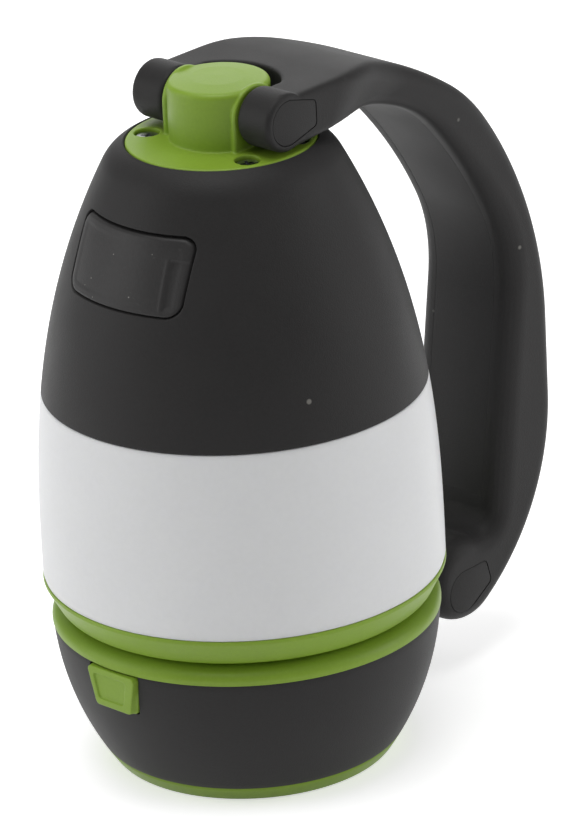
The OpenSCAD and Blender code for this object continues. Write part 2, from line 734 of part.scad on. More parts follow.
flap_z0 = shell_z + flap_lift;
flap_z1 = flap_z0 + flap_h;
function chord_y(z, x) = -sqrt(pow(head_r(z), 2) - pow(x, 2));
flap_edge_low = chord_y(flap_z0, flap_w / 2);
flap_edge_high = chord_y(flap_z1, flap_w / 2);
flap_tilt = atan((flap_edge_high - flap_edge_low) / flap_h);
// The flap lifts off at right angles to its hinge, so its edges are cut in that direction
flap_o = [0, flap_edge_low, flap_z0];
function flap_v(y, z) = (y - flap_o[1]) * sin(flap_tilt) + (z - flap_o[2]) * cos(flap_tilt);
flap_corner = 3;
flap_seat = 0.6;
module flap_outline(gap) {
    xs = [for (i = [-4:4]) (flap_w / 2 - flap_corner) * i / 4];
    x_end = flap_w / 2 - flap_corner;
    top_end = flap_v(chord_y(flap_z1, x_end), flap_z1) - flap_corner;
    low_end = flap_v(chord_y(flap_z0, x_end), flap_z0) + flap_corner;
    polygon(concat(
        [for (x = xs) [x, flap_v(chord_y(flap_z0, x), flap_z0) - gap]],
        arc([x_end, low_end], flap_corner + gap, -90, 0, 5),
        arc([x_end, top_end], flap_corner + gap, 0, 90, 5),
        reverse([for (x = xs) [x, flap_v(chord_y(flap_z1, x), flap_z1) + gap]]),
        arc([-x_end, top_end], flap_corner + gap, 90, 180, 5),
        arc([-x_end, low_end], flap_corner + gap, 180, 270, 5)));
}
module flap_frame() {
    translate(flap_o) rotate([90 - flap_tilt, 0, 0]) children();
}
module head_band(inset0, inset1, z0, z1) {
    rotate_extrude() polygon(concat(head_side(z0, z1, inset0, 8),
        reverse(head_side(z0, z1, inset1, 8))));
}
module flap_region(inset0, inset1, gap) {
    intersection() {
        head_band(inset0, inset1, flap_z0 - 4, flap_z1 + 4);
        flap_frame() linear_extrude(60, center = true) flap_outline(gap);
        translate([-body_r, -body_r - 5, 0]) cube([body_d, body_r, 2 * plate_z]);
    }
}
scoop_r = 9;
module port_flap() {
    color(rubber) difference() {
        flap_region(0, flap_t, 0);
        translate([flap_w / 2 - 5, 0, 0]) flap_frame()
            translate([0, 0, scoop_r + scoop_out]) rotate([-90, 0, 0])
            translate([0, 0, 3]) cylinder(r = scoop_r, h = flap_h - 4);
    }
}
scoop_out = 2.4;
port_z = (flap_z0 + flap_z1) / 2;
// Depth of the ports' circuit board under the shell's skin
board_in = 19.9;
board_y = board_in - head_r(port_z);
usb_a = [15, 7];
micro_usb = [8, 3];
usb_a_x = -8;
micro_usb_x = 8;
port_depth = 12.5;
post_x = 16;
board_w = 40;
board_z0 = shell_z + 10;
board_h = 40;
post_zs = [board_z0 + 4, board_z0 + 19];
module port_block() {
    intersection() {
        head_band(shell_wall / 2, flap_t + flap_seat + 1.6, flap_z0 - 4, flap_z1 + 4);
        translate([-flap_w / 2 - 2.5, -body_r, flap_z0 - 2])
            cube([flap_w + 5, body_r, flap_h + 5]);
    }
}
module board_posts() {
    for (x = [-post_x, post_x], z = post_zs)
        translate([x, board_y, z]) rotate([90, 0, 0]) cylinder(r = 2.6, h = body_r);
}
module port_box(x, size, gap, y0, y1) {
    translate([x - size[0] / 2 - gap, y0, port_z - size[1] / 2 - gap])
        cube([size[0] + 2 * gap, y1 - y0, size[1] + 2 * gap]);
}
module port_openings() {
    port_box(usb_a_x, usb_a, 0.2, -body_r, board_y - 1);
    port_box(micro_usb_x, micro_usb, 0.2, -body_r, board_y - 1);
}
module usb_a_port() {
    color(steel) difference() {
        port_box(usb_a_x, usb_a, 0, board_y - port_depth, board_y);
        port_box(usb_a_x, usb_a, -0.6, board_y - port_depth - 1, board_y - 1.5);
    }
    color(white) port_box(usb_a_x, [11, 1.8], 0, board_y - port_depth + 1, board_y - 1);
}
module micro_usb_port() {
    color(steel) difference() {
        port_box(micro_usb_x, micro_usb, 0, board_y - port_depth, board_y);
        port_box(micro_usb_x, micro_usb, -0.4, board_y - port_depth - 1, board_y - 1.5);
    }
    color(white) port_box(micro_usb_x, [4.6, 0.7], 0, board_y - port_depth + 1, board_y - 1);
}
module control_board() {
    color(circuit) difference() {
        translate([-board_w / 2, board_y, board_z0]) cube([board_w, board_t, board_h]);
        for (x = [-post_x, post_x], z = post_zs) translate([x, board_y - 1, z])
            rotate([-90, 0, 0]) cylinder(d = 2.4, h = board_t + 2);
    }
    color(dark) translate([-5, board_y + board_t, board_z0 + 14]) cube([10, 1.2, 10]);
}
// Frame of the power button: outwards along its Z, on the rear of the shell
button_z = port_z + 4;
button_lean = atan(body_r * pear_power / pear_h
    * pow((button_z - pear_z) / pear_h, pear_power - 1));
button_wall = 4;
button_flange_t = 1;
button_proud = 0.9;
plunger_top = -button_wall - move_gap - button_flange_t - button_travel - 0.3;
switch_h = 3.4;
switch_board_top = plunger_top - 1.2 - switch_h;
switch_post_x = 12.5;
switch_board_w = 32;
switch_board_h = 14;
module button_frame() {
    translate([0, head_r(button_z), button_z]) rotate([button_lean - 90, 0, 0]) children();
}
module button_block() {
    button_frame() {
        translate([0, 0, -button_wall]) cylinder(d = button_d + 6, h = 2 * button_wall);
        for (x = [-switch_post_x, switch_post_x]) translate([x, 0, switch_board_top])
            cylinder(r = 2.2, h = -switch_board_top);
    }
}
module power_button() {
    color(rubber) button_frame() {
        translate([0, 0, -button_wall - move_gap - button_flange_t])
            cylinder(d = button_d, h = button_wall + move_gap + button_flange_t + button_proud);
        translate([0, 0, -button_wall - move_gap - button_flange_t])
            cylinder(d = button_d + 3, h = button_flange_t);
    }
}
module switch_body() {
    color(dark) button_frame() {
        translate([-3, -3, switch_board_top]) cube([6, 6, switch_h]);
        translate([0, 0, switch_board_top]) cylinder(d = 3.4, h = switch_h + 1.2);
    }
}
module switch_board() {
    color(circuit) button_frame() difference() {
        translate([-switch_board_w / 2, -switch_board_h / 2, switch_board_top - board_t])
            cube([switch_board_w, switch_board_h, board_t]);
        for (x = [-switch_post_x, switch_post_x]) translate([x, 0, switch_board_top - board_t - 1])
            cylinder(d = 2, h = board_t + 2);
    }
}

// ---- Head: diffuser, bezel and light ----

module diffuser() {
    low = diffuser_z + 0.15;
    high = shell_z - 0.15;
    color(milky) rotate_extrude() polygon(concat(
        [[lower_spigot_r - spigot_t, low - spigot_h], [lower_spigot_r, low - spigot_h],
        [lower_spigot_r, low]],
        head_side(low, high, 0, 12),
        [[upper_spigot_r, high], [upper_spigot_r, high + spigot_h],
        [upper_spigot_r - spigot_t, high + spigot_h], [upper_spigot_r - spigot_t, high - 2]],
        reverse(head_side(low + 2, high - 2, diffuser_wall, 12)),
        [[lower_spigot_r - spigot_t, low + 2]]));
}
module ring(r0, r1, z0, z1) {
    translate([0, 0, z0]) difference() {
        cylinder(r = r1, h = z1 - z0);
        translate([0, 0, -1]) cylinder(r = r0, h = z1 - z0 + 2);
    }
}
seal_low_z = diffuser_z + 0.15 - spigot_h - seal_t;
seal_high_z = shell_z - 0.15 + spigot_h;
module diffuser_seals() {
    color(rubber) {
        ring(lower_spigot_r - spigot_t, lower_spigot_r, seal_low_z, seal_low_z + seal_t);
        ring(upper_spigot_r - spigot_t, upper_spigot_r, seal_high_z, reflector_z);
    }
}
floor_t = keeper_t;
lens_lip = 1.2;
lens_lip_t = 1.2;
lens_z = bezel_z + lens_lip_t;
core_r = lower_spigot_r - spigot_t - 1.5;
core_z = bezel_z + floor_t + 2.6;
core_t = 2;
cup_r = lens_d / 2 + 2.3;
reflector_h = 13.1;
spot_top_z = lens_z + lens_t + reflector_h;
led_h = 1.1;
spot_board_z = spot_top_z + 0.3;
cup_top_z = spot_board_z + board_t;
tube_wall = 1.5;
tube_r = cell_d / 2 + 0.3 + tube_wall;
tube_floor_z = cup_top_z + 1.6;
cell_z = tube_floor_z + 2;
tube_top_z = cell_z + cell_h + 2;
bezel_screw_r = 33;
bezel_screw_angles = [45:90:315];
bezel_foot_r = rim_edge[0];
module lower_bezel() {
    wall_in = lower_spigot_r + seat_gap;
    color(green) difference() {
        union() {
            rotate_extrude() polygon([
                [lens_d / 2 - lens_lip, bezel_z], [bezel_foot_r, bezel_z],
                [bezel_foot_r + 0.5, bezel_z + 0.5], [body_r + 0.1, diffuser_z - 0.5],
                [body_r - 0.1, diffuser_z], [wall_in, diffuser_z], [wall_in, seal_low_z],
                [wall_in - spigot_t - 0.2, seal_low_z], [wall_in - 3, bezel_z + floor_t],
                [lens_d / 2 + 2, bezel_z + floor_t], [lens_d / 2 + 2, lens_z + lens_t],
                [lens_d / 2 + seat_gap, lens_z + lens_t], [lens_d / 2 + seat_gap, lens_z],
                [lens_d / 2 - lens_lip, lens_z]]);
            translate([0, 0, bezel_z + 1]) polar_array(bezel_screw_angles, bezel_screw_r)
                cylinder(r = 4, h = core_z - bezel_z - 1);
        }
        translate([-hook_w / 2 - 0.6, keeper_y, bezel_z - 1])
            cube([hook_w + 1.2, keeper_l, floor_t + 2]);
        polar_array(bezel_screw_angles, bezel_screw_r) {
            translate([0, 0, bezel_z - 1]) cylinder(d = screw_d + 0.4, h = 10);
            translate([0, 0, bezel_z - 1]) cylinder(d = screw_head_d + 0.6, h = 1.4 + screw_head_t);
        }
    }
}
module bezel_screws() {
    color(steel) translate([0, 0, bezel_z + 0.4]) polar_array(bezel_screw_angles, bezel_screw_r) {
        difference() {
            cylinder(d = screw_head_d, h = screw_head_t);
            mirror([0, 0, 1]) cross_recess(3.4, 1);
        }
        translate([0, 0, screw_head_t]) cylinder(d = screw_d - 0.2, h = 5.6);
    }
}
// The core carries the lantern board, covers the spot light and holds the battery
module core_frame() {
    color(white) difference() {
        union() {
            rotate_extrude() polygon([
                [cup_r - 1.6, core_z], [core_r, core_z], [core_r, core_z + core_t],
                [cup_r, core_z + core_t], [cup_r, tube_floor_z], [tube_r, tube_floor_z],
                [tube_r, tube_top_z], [tube_r - tube_wall, tube_top_z],
                [tube_r - tube_wall, tube_floor_z], [0, tube_floor_z], [0, cup_top_z],
                [cup_r - 1.6, cup_top_z]]);
            translate([0, 0, core_z]) polar_array(bezel_screw_angles, bezel_screw_r)
                cylinder(r = 3.4, h = core_t);
        }
        translate([0, 0, core_z - 1]) polar_array(bezel_screw_angles, bezel_screw_r)
            cylinder(d = screw_d, h = core_t + 2);
    }
}
module spot_lens() {
    color(clear) translate([0, 0, lens_z]) cylinder(d = lens_d, h = lens_t);
}
module spot_reflector() {
    low = lens_z + lens_t;
    wide = lens_d / 2 - 0.5;
    color(steel) rotate_extrude() polygon([[wide - 1.2, low], [wide, low], [wide, low + 1.2],
        [6.8, spot_top_z], [5.4, spot_top_z]]);
}
spot_board_r = 13;
module spot_board() {
    color(circuit) translate([0, 0, spot_board_z]) cylinder(r = spot_board_r, h = board_t);
}
module spot_led() {
    color(amber) translate([-2.5, -2.5, spot_board_z - led_h]) cube([5, 5, led_h]);
}
lantern_board_z = core_z + core_t;
module lantern_board() {
    color(circuit) difference() {
        ring(cup_r + 0.3, core_r - 0.5, lantern_board_z, lantern_board_z + board_t);
        translate([0, 0, lantern_board_z - 1]) polar_array(bezel_screw_angles, bezel_screw_r)
            cylinder(d = screw_d + 1, h = board_t + 2);
    }
}
module lantern_leds() {
    color(amber) for (i = [0:led_count - 1]) rotate(360 * (i + 0.5) / led_count)
        translate([core_r - 6, -1.75, lantern_board_z + board_t]) cube([3.5, 3.5, led_h]);
}
module light_reflector() {
    color(white) ring(tube_r + seat_gap, head_r(stop_z) - shell_wall - 0.3, reflector_z, stop_z);
}
module battery_cell() {
    color(blue) translate([0, 0, cell_z]) cylinder(d = cell_d, h = cell_h);
}
module battery_contacts() {
    color(steel) {
        translate([0, 0, tube_floor_z]) cylinder(r = 8, h = 0.6);
        translate([0, 0, tube_floor_z + 0.6]) cylinder(r1 = 5, r2 = 3, h = 1.4);
        translate([0, 0, tube_top_z - 0.6]) cylinder(r = 8, h = 0.6);
        translate([0, 0, tube_top_z - 2]) cylinder(r = 3, h = 1.4);
    }
}
module battery_cap() {
    color(white) translate([0, 0, tube_top_z]) cylinder(r = tube_r, h = 1.6);
}

base_foot();
foot_pad();
base_bowl();
base_tray();
ballast_plate();
base_screws();
latch_spring();
latch_button();
handle_shell();
handle_cover();
upper_cap_left();
upper_cap_right();
lower_cap_left();
lower_cap_right();
upper_pivot_screws();
upper_washers();
lower_pivot_pin();
head_shell();
top_plate();
plate_screws();
diffuser();
diffuser_seals();
lower_bezel();
bezel_screws();
core_frame();
spot_lens();
spot_reflector();
spot_board();
spot_led();
lantern_board();
lantern_leds();
light_reflector();
battery_cell();
battery_contacts();
battery_cap();
control_board();
usb_a_port();
micro_usb_port();
switch_board();
switch_body();
port_flap();
power_button();
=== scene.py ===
import bpy
import bmesh
import math
import numpy as np
from mathutils import Matrix, Vector


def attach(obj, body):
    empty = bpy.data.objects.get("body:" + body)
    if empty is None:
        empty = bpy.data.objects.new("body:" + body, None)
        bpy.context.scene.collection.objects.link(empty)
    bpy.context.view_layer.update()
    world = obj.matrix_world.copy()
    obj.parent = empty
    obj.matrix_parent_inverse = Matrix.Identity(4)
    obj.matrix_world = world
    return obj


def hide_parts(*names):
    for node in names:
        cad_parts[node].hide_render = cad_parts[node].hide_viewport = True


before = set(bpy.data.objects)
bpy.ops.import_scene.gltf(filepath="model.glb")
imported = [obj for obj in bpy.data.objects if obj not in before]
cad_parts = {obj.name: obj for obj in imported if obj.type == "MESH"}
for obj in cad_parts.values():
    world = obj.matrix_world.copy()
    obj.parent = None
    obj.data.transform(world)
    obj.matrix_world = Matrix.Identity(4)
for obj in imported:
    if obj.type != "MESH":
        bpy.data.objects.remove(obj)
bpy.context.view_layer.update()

# ---------------- sizes in millimetres, as in the solids
MM = 0.001
BODY_R = 52.5  # greatest radius of the head
FOOT_Z, RIM_Z, SEAM_Z, BEZEL_Z = 4.3, 38.6, 43.8, 44.2
DIFFUSER_Z, SHELL_Z, PLATE_Z = 51.8, 102.0, 168.7
PEAR_Z, PEAR_H, PEAR_POWER = 53.7, 152.9, 2.64  # where the pear's curve starts, its length, its power
RIM_R, SIDE_R = 50.8, 76.0  # radius of the bowl at the seam, and of its side's arc
TOP_PIVOT = np.array([0.0, 177.2])  # y and z of the two pivots
LOW_PIVOT = np.array([66.8, 22.5])
FORK_HALF, GRIP_HALF = 24.0, 16.5  # half widths of the handle's fork and grip
SCREW_BORE_R, PIVOT_SEAT_R, PIVOT_SEAT_DEPTH = 3.1, 4.8, 5.1
SEAM_GAP = 0.12


def head_r(z):
    """Radius of the pear-shaped head at a height."""
    return BODY_R * (1 - (np.maximum(0, np.asarray(z, float) - PEAR_Z) / PEAR_H) ** PEAR_POWER)


def base_r(z):
    """Radius of the base's bowl at a height."""
    return RIM_R - SIDE_R + np.sqrt(SIDE_R ** 2 - (SEAM_Z - np.asarray(z, float)) ** 2)


def smooth_step(t):
    """Runs smoothly from 0 at 0 to 1 at 1, and stays level outside."""
    t = np.clip(t, 0, 1)
    return t * t * (3 - 2 * t)


def heading(degrees):
    """Unit vector at an angle from the first axis."""
    angle = math.radians(degrees)
    return np.array([math.cos(angle), math.sin(angle)])


# ---------------- mesh helpers
def make(name, verts, faces, mat, weld=0.002, sharp=35):
    """An object from points in millimetres, with close points welded."""
    mesh = bpy.data.meshes.new(name)
    mesh.from_pydata([tuple(v) for v in np.asarray(verts, float) * MM], [], faces)
    work = bmesh.new()
    work.from_mesh(mesh)
    if weld:
        bmesh.ops.remove_doubles(work, verts=work.verts, dist=weld * MM)
    bmesh.ops.dissolve_degenerate(work, edges=work.edges, dist=1e-7)
    bmesh.ops.recalc_face_normals(work, faces=work.faces)
    work.to_mesh(mesh)
    work.free()
    ob = bpy.data.objects.new(name, mesh)
    bpy.context.collection.objects.link(ob)
    finish_mesh(ob, mat, sharp)
    return ob


def finish_mesh(ob, mat, sharp=35):
    """Gives ob its material and smooth shading, with edges steeper than sharp degrees kept."""
    mesh = ob.data
    mesh.materials.clear()
    if mat is not None:
        mesh.materials.append(mat)
    mesh.shade_smooth()
    if sharp:
        mesh.set_sharp_from_angle(angle=math.radians(sharp))


def bake(ob):
    """Applies the modifiers of ob."""
    bpy.context.view_layer.update()
    graph = bpy.context.evaluated_depsgraph_get()
    mesh = bpy.data.meshes.new_from_object(ob.evaluated_get(graph))
    ob.modifiers.clear()
    old = ob.data
    ob.data = mesh
    bpy.data.meshes.remove(old)


def boolean(ob, others, operation):
    """Cuts the others out of ob, or joins them to it, and deletes them."""
    for other in others:
        modifier = ob.modifiers.new("bool", "BOOLEAN")
        modifier.operation = operation
        modifier.solver = "MANIFOLD"
        modifier.object = other
    bake(ob)
    for other in others:
        bpy.data.objects.remove(other)


def moulded(ob, voxel, rounds, mat):
    """Turns a rough solid into one even, softly rounded skin."""
    skin = ob.modifiers.new("remesh", "REMESH")
    skin.mode = "VOXEL"
    skin.voxel_size = voxel * MM
    soft = ob.modifiers.new("smooth", "SMOOTH")
    soft.factor = 0.5
    soft.iterations = rounds
    bake(ob)
    finish_mesh(ob, mat, sharp=0)


def arc(centre, radius, start, end, count):
    """Points of an arc between two angles in degrees, and their outward normals."""
    angles = np.radians(np.linspace(start, end, count))
    normals = np.stack([np.cos(angles), np.sin(angles)], -1)
    return np.asarray(centre, float) + radius * normals, normals


def circle(radius, count):
    """Points of a circle about the origin."""
    angles = np.arange(count) * 2 * math.pi / count
    return np.stack([radius * np.cos(angles), radius * np.sin(angles)], -1)


def fillet(points, radii, steps=5):
    """Rounds the corners of a closed outline."""
    corners = np.asarray(points, float)
    count = len(corners)
    out = []
    for i in range(count):
        before, corner, after = corners[i - 1], corners[i], corners[(i + 1) % count]
        if radii[i] <= 0:
            out.append(corner)
            continue
        u, v = before - corner, after - corner
        length_u, length_v = np.linalg.norm(u), np.linalg.norm(v)
        u, v = u / length_u, v / length_v
        half = math.acos(max(-1, min(1, float(u @ v)))) / 2
        reach = min(radii[i] / math.tan(half), 0.49 * length_u, 0.49 * length_v)
        radius = reach * math.tan(half)
        centre = corner + (u + v) / np.linalg.norm(u + v) * (radius / math.sin(half))
        start, end = corner + u * reach - centre, corner + v * reach - centre
        first = math.atan2(start[1], start[0])
        turn = math.atan2(start[0] * end[1] - start[1] * end[0], float(start @ end))
        for k in range(steps + 1):
            angle = first + turn * k / steps
            out.append(centre + radius * np.array([math.cos(angle), math.sin(angle)]))
    return np.array(out)


def outward_normals(line):
    """Unit normals of a closed line that runs anticlockwise."""
    along = np.roll(line, -1, 0) - np.roll(line, 1, 0)
    normals = np.stack([along[:, 1], -along[:, 0]], -1)
    return normals / (np.linalg.norm(normals, axis=1)[:, None] + 1e-12)


def ring_faces(rings, count, first=0):
    """Quads between rings of count points that follow each other, from vertex first on."""
    faces = []
    for ring in range(rings - 1):
        low = first + ring * count
        for i in range(count):
            beside = (i + 1) % count
            faces.append((low + i, low + beside, low + count + beside, low + count + i))
    return faces


def turned(angles, radii, heights):
    """Points of an outline turned about the Z axis; angle 0 is towards -Y."""
    sines, cosines = np.sin(angles)[:, None], np.cos(angles)[:, None]
    return np.stack([radii * sines, -radii * cosines, heights + 0 * sines], -1).reshape(-1, 3)


def turned_faces(turns, radii):
    """Quads of a turned closed outline; a stretch that lies on the axis has none."""
    count = len(radii)
    faces = []
    for i in range(turns):
        here, beside = i * count, ((i + 1) % turns) * count
        for j in range(count):
            after = (j + 1) % count
            if max(radii[j], radii[after]) > 1e-6:
                faces.append((here + j, beside + j, beside + after, here + after))
    return faces


def lathe(name, outline, mat, turns=256, sharp=35):
    """Turns a closed outline of radii and heights about the Z axis."""
    radii, heights = np.asarray(outline, float).T
    verts = turned(np.arange(turns) * 2 * math.pi / turns, radii, heights)
    return make(name, verts, turned_faces(turns, radii), mat, sharp=sharp)


def prism(name, outline, axis, lo, hi, mat=None, edge=0.0, steps=3):
    """Extrudes a convex outline along X, Y or Z; edge rounds its rims."""
    line = np.asarray(outline, float)
    count = len(line)
    after = np.roll(line, -1, 0)
    if np.sum(line[:, 0] * after[:, 1] - after[:, 0] * line[:, 1]) < 0:
        line = line[::-1]
    normals = outward_normals(line)
    rings = [(0, lo), (0, hi)]
    if edge > 0:
        angles = [math.pi / 2 * s / steps for s in range(steps + 1)]
        insets = [(edge * (1 - math.sin(a)), edge * (1 - math.cos(a))) for a in angles]
        rings = [(inset, lo + depth) for inset, depth in insets]
        rings += [(inset, hi - depth) for inset, depth in insets[::-1]]
    verts = []
    for inset, h in rings:
        for x, y in line - normals * inset:
            verts.append({"X": (h, x, y), "Y": (x, h, y), "Z": (x, y, h)}[axis])
    last = (len(rings) - 1) * count
    faces = [tuple(range(count)), tuple(range(last, last + count))]
    return make(name, verts, faces + ring_faces(len(rings), count), mat, weld=0)


def box(name, x0, x1, y0, y1, z0, z1, edge=0.0):
    """A block between two values of X, of Y and of Z."""
    return prism(name, [(x0, y0), (x1, y0), (x1, y1), (x0, y1)], "Z", z0, z1, edge=edge)


def rod(name, axis, centre, radius, lo, hi, edge=0.0, count=64):
    """A round bar along X or Z; centre is its place across that axis."""
    return prism(name, np.asarray(centre) + circle(radius, count), axis, lo, hi, edge=edge, steps=5)


def both_sides(near, far):
    """The stretch of X from near to far, on the left and on the right."""
    return [(-far, -near), (near, far)]


def own(ob, body, slot, *nodes):
    """Gives a piece its body and hides the nodes that it stands for; the slot is not used."""
    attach(ob, body)
    if nodes:
        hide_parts(*nodes)


# ---------------- materials
CLOUD_SCALE = 38  # size of the clouds of colour and roughness
FLAT_POINT, SHARP_POINT = 0.52, 0.62  # pointiness where the painted edge highlight starts, and where it is full
DUST_COLOUR, DUST_SHARE = (0.35, 0.34, 0.31, 1), 0.28
DOT_SIZE, DOT_RIM = 0.05, 0.09  # as a share of a cell
GRAIN_DEPTH = 0.0002  # metres


def srgb(*levels):
    """Linear colour of red, green and blue levels from 0 to 255."""
    parts = [level / 255 for level in levels]
    return tuple(p / 12.92 if p <= 0.04045 else ((p + 0.055) / 1.055) ** 2.4 for p in parts)


def shaded(colour, factor, lift=0.0):
    """The colour made lighter or darker, with full opacity."""
    return tuple(min(1.0, c * factor + lift) for c in colour) + (1,)


def add(tree, kind, sockets):
    """A node whose sockets are linked to outputs or hold constants."""
    node = tree.nodes.new(kind)
    feed(tree, node, sockets)
    return node


def feed(tree, node, sockets):
    """Links or sets the sockets of a node, found by name or number."""
    for key, value in sockets.items():
        if isinstance(value, bpy.types.NodeSocket):
            tree.links.new(value, node.inputs[key])
        else:
            node.inputs[key].default_value = value


def calculate(tree, operation, *values):
    """The result of a Math node."""
    node = tree.nodes.new("ShaderNodeMath")
    node.operation = operation
    feed(tree, node, dict(enumerate(values)))
    return node.outputs[0]


def blend(tree, factor, first, second):
    """Mixes two colours."""
    node = tree.nodes.new("ShaderNodeMix")
    node.data_type = "RGBA"
    feed(tree, node, {"Factor": factor, 6: first, 7: second})
    return node.outputs[2]


def spread(tree, value, from_min, from_max, to_min=0.0, to_max=1.0):
    """Maps a value from one range to another, and holds it inside."""
    return add(tree, "ShaderNodeMapRange", {
        "Value": value, "From Min": from_min, "From Max": from_max,
        "To Min": to_min, "To Max": to_max}).outputs[0]


def noise(tree, place, scale, detail, roughness=0.5):
    """Fractal noise, from 0 to 1."""
    return add(tree, "ShaderNodeTexNoise", {
        "Vector": place, "Scale": scale, "Detail": detail, "Roughness": roughness}).outputs["Fac"]


def painted_edge_highlight(tree, under, colour, amount):
    """Painted highlight: lighter plastic on sharp edges, where their rounding would catch light."""
    pointiness = add(tree, "ShaderNodeNewGeometry", {}).outputs["Pointiness"]
    # mask of the sharpest edges, where the painted highlight goes
    edge = spread(tree, pointiness, FLAT_POINT, SHARP_POINT)
    return blend(tree, calculate(tree, "MULTIPLY", edge, amount), under, shaded(colour, 1.5, 0.02))


def dusted(tree, place, under, amount, scale):
    """Sparse pale specks of dust: one dot in some of the cells."""
    cells = add(tree, "ShaderNodeTexVoronoi", {"Vector": place, "Scale": scale})
    dot = spread(tree, cells.outputs["Distance"], DOT_SIZE, DOT_RIM, amount, 0.0)
    draw = add(tree, "ShaderNodeSeparateColor", {0: cells.outputs["Color"]}).outputs[0]
    chosen = calculate(tree, "GREATER_THAN", draw, 1 - DUST_SHARE)
    return blend(tree, calculate(tree, "MULTIPLY", dot, chosen), under, DUST_COLOUR)


def plastic(name, colour, rough=0.5, vary=0.08, grain=2600.0, bump=0.12, rough_vary=0.08,
            metallic=0.0, coat=0.0, inner=0.0, inner_radius=(0.004, 0.004, 0.004), specular=0.5,
            sheen=0.0, transmission=0.0, ior=1.5, edge_highlight=0.0, dust=0.0, dust_scale=300.0):
    """Moulded plastic: fine grain, clouds of colour and roughness, painted highlights on sharp edges."""
    material = bpy.data.materials.new(name)
    material.use_nodes = True
    tree = material.node_tree
    tree.nodes.clear()
    place = add(tree, "ShaderNodeTexCoord", {}).outputs["Object"]
    grains = noise(tree, place, grain, 3, 0.6)
    cloud = noise(tree, place, CLOUD_SCALE, 5)
    specks = noise(tree, place, grain * 0.45, 2)
    ramp = add(tree, "ShaderNodeValToRGB", {0: calculate(tree, "MULTIPLY_ADD", specks, 0.6, cloud)})
    low, high = ramp.color_ramp.elements
    low.position, high.position = 0.45, 1.0
    low.color, high.color = shaded(colour, 1 - vary), shaded(colour, 1 + vary)
    skin = ramp.outputs["Color"]
    # painted edge highlights: lighter plastic where edges are sharp
    if edge_highlight:
        skin = painted_edge_highlight(tree, skin, colour, edge_highlight)
    if dust:
        skin = dusted(tree, place, skin, dust, dust_scale)
    rubbed = spread(tree, cloud, 0.3, 0.7, max(0.02, rough - rough_vary), min(1, rough + rough_vary))
    relief = add(tree, "ShaderNodeBump", {"Strength": bump, "Distance": GRAIN_DEPTH, "Height": grains})
    surface = add(tree, "ShaderNodeBsdfPrincipled", {
        "Base Color": skin, "Roughness": rubbed, "Normal": relief.outputs[0],
        "Metallic": metallic, "IOR": ior, "Specular IOR Level": specular,
        "Coat Weight": coat, "Coat Roughness": 0.25,
        "Sheen Weight": sheen, "Sheen Roughness": 0.6,
        "Subsurface Weight": inner, "Subsurface Radius": inner_radius, "Subsurface Scale": 1.0,
        "Transmission Weight": transmission})
    add(tree, "ShaderNodeOutputMaterial", {0: surface.outputs[0]})
    return material


# the edge amounts below paint lighter highlights on sharp edges
DARK = plastic("soft_touch_dark", srgb(42, 41, 41), rough=0.52, vary=0.1, bump=0.35, grain=2400,
               rough_vary=0.05, specular=0.18, sheen=0.02, edge_highlight=0.25, dust=0.5, dust_scale=110)
CAP_DARK = plastic("soft_touch_dark_cap", srgb(43, 42, 42), rough=0.55, vary=0.12, bump=0.4,
                   grain=2800, rough_vary=0.06, specular=0.18, sheen=0.02, edge_highlight=0.2)
FLAP = plastic("flap_rubber", srgb(44, 43, 43), rough=0.46, vary=0.16, bump=0.3, grain=1800,
               rough_vary=0.1, specular=0.26, sheen=0.03, edge_highlight=0.3, dust=0.8, dust_scale=420)
GREEN = plastic("lime_plastic", srgb(131, 162, 50), rough=0.42, vary=0.06, bump=0.18,
                rough_vary=0.06, specular=0.34, inner=0.08, inner_radius=(0.002, 0.003, 0.001))
MILKY = plastic("milky_diffuser", srgb(238, 239, 242), rough=0.38, vary=0.02, bump=0.05, grain=1500,
                rough_vary=0.05, specular=0.45, inner=0.35, inner_radius=(0.006, 0.006, 0.007))
WHITE = plastic("white_moulding", srgb(228, 228, 224), vary=0.04, bump=0.1)
STEEL = plastic("zinc_steel", srgb(172, 174, 176), rough=0.26, vary=0.12, bump=0.25, grain=1200,
                rough_vary=0.12, metallic=1.0)
CHROME = plastic("reflector_metal", srgb(225, 225, 225), rough=0.1, vary=0.04, bump=0.05, grain=900,
                 rough_vary=0.05, metallic=1.0)
BOARD = plastic("solder_mask", srgb(22, 92, 48), rough=0.35, vary=0.2, bump=0.3, grain=700,
                rough_vary=0.1, coat=0.3)
PHOSPHOR = plastic("phosphor", srgb(240, 205, 90), rough=0.4, bump=0.1, grain=3000)
SLEEVE = plastic("cell_sleeve", srgb(40, 80, 140), rough=0.3, vary=0.1, bump=0.1, grain=500, coat=0.2)
RUBBER = plastic("pad_rubber", srgb(40, 40, 41), rough=0.7, vary=0.18, bump=0.5, grain=1500,
                 specular=0.3, edge_highlight=0.2)
LENS = plastic("clear_lens", srgb(235, 240, 243), rough=0.06, vary=0.02, bump=0.02, grain=400,
               rough_vary=0.03, transmission=0.9, ior=1.49)

# the nodes that no piece replaces are shown as they are, in the material of their stuff
NODE_MATERIALS = [
    (STEEL, ("ballast_plate", "latch_spring", "upper_pivot_screws", "upper_washers",
             "lower_pivot_pin", "battery_contacts", "usb_a_port", "micro_usb_port",
             "bezel_screws", "base_screws", "plate_screws")),
    (WHITE, ("core_frame", "light_reflector", "battery_cap")),
    (BOARD, ("spot_board", "lantern_board", "control_board", "switch_board")),
    (PHOSPHOR, ("spot_led", "lantern_leds")),
    (RUBBER, ("diffuser_seals",)),
    (CAP_DARK, ("switch_body",)),
    (SLEEVE, ("battery_cell",)),
    (LENS, ("spot_lens",)),
    (CHROME, ("spot_reflector",)),
]
for material, nodes in NODE_MATERIALS:
    for node in nodes:
        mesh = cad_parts[node].data
        mesh.materials.clear()
        mesh.materials.append(material)

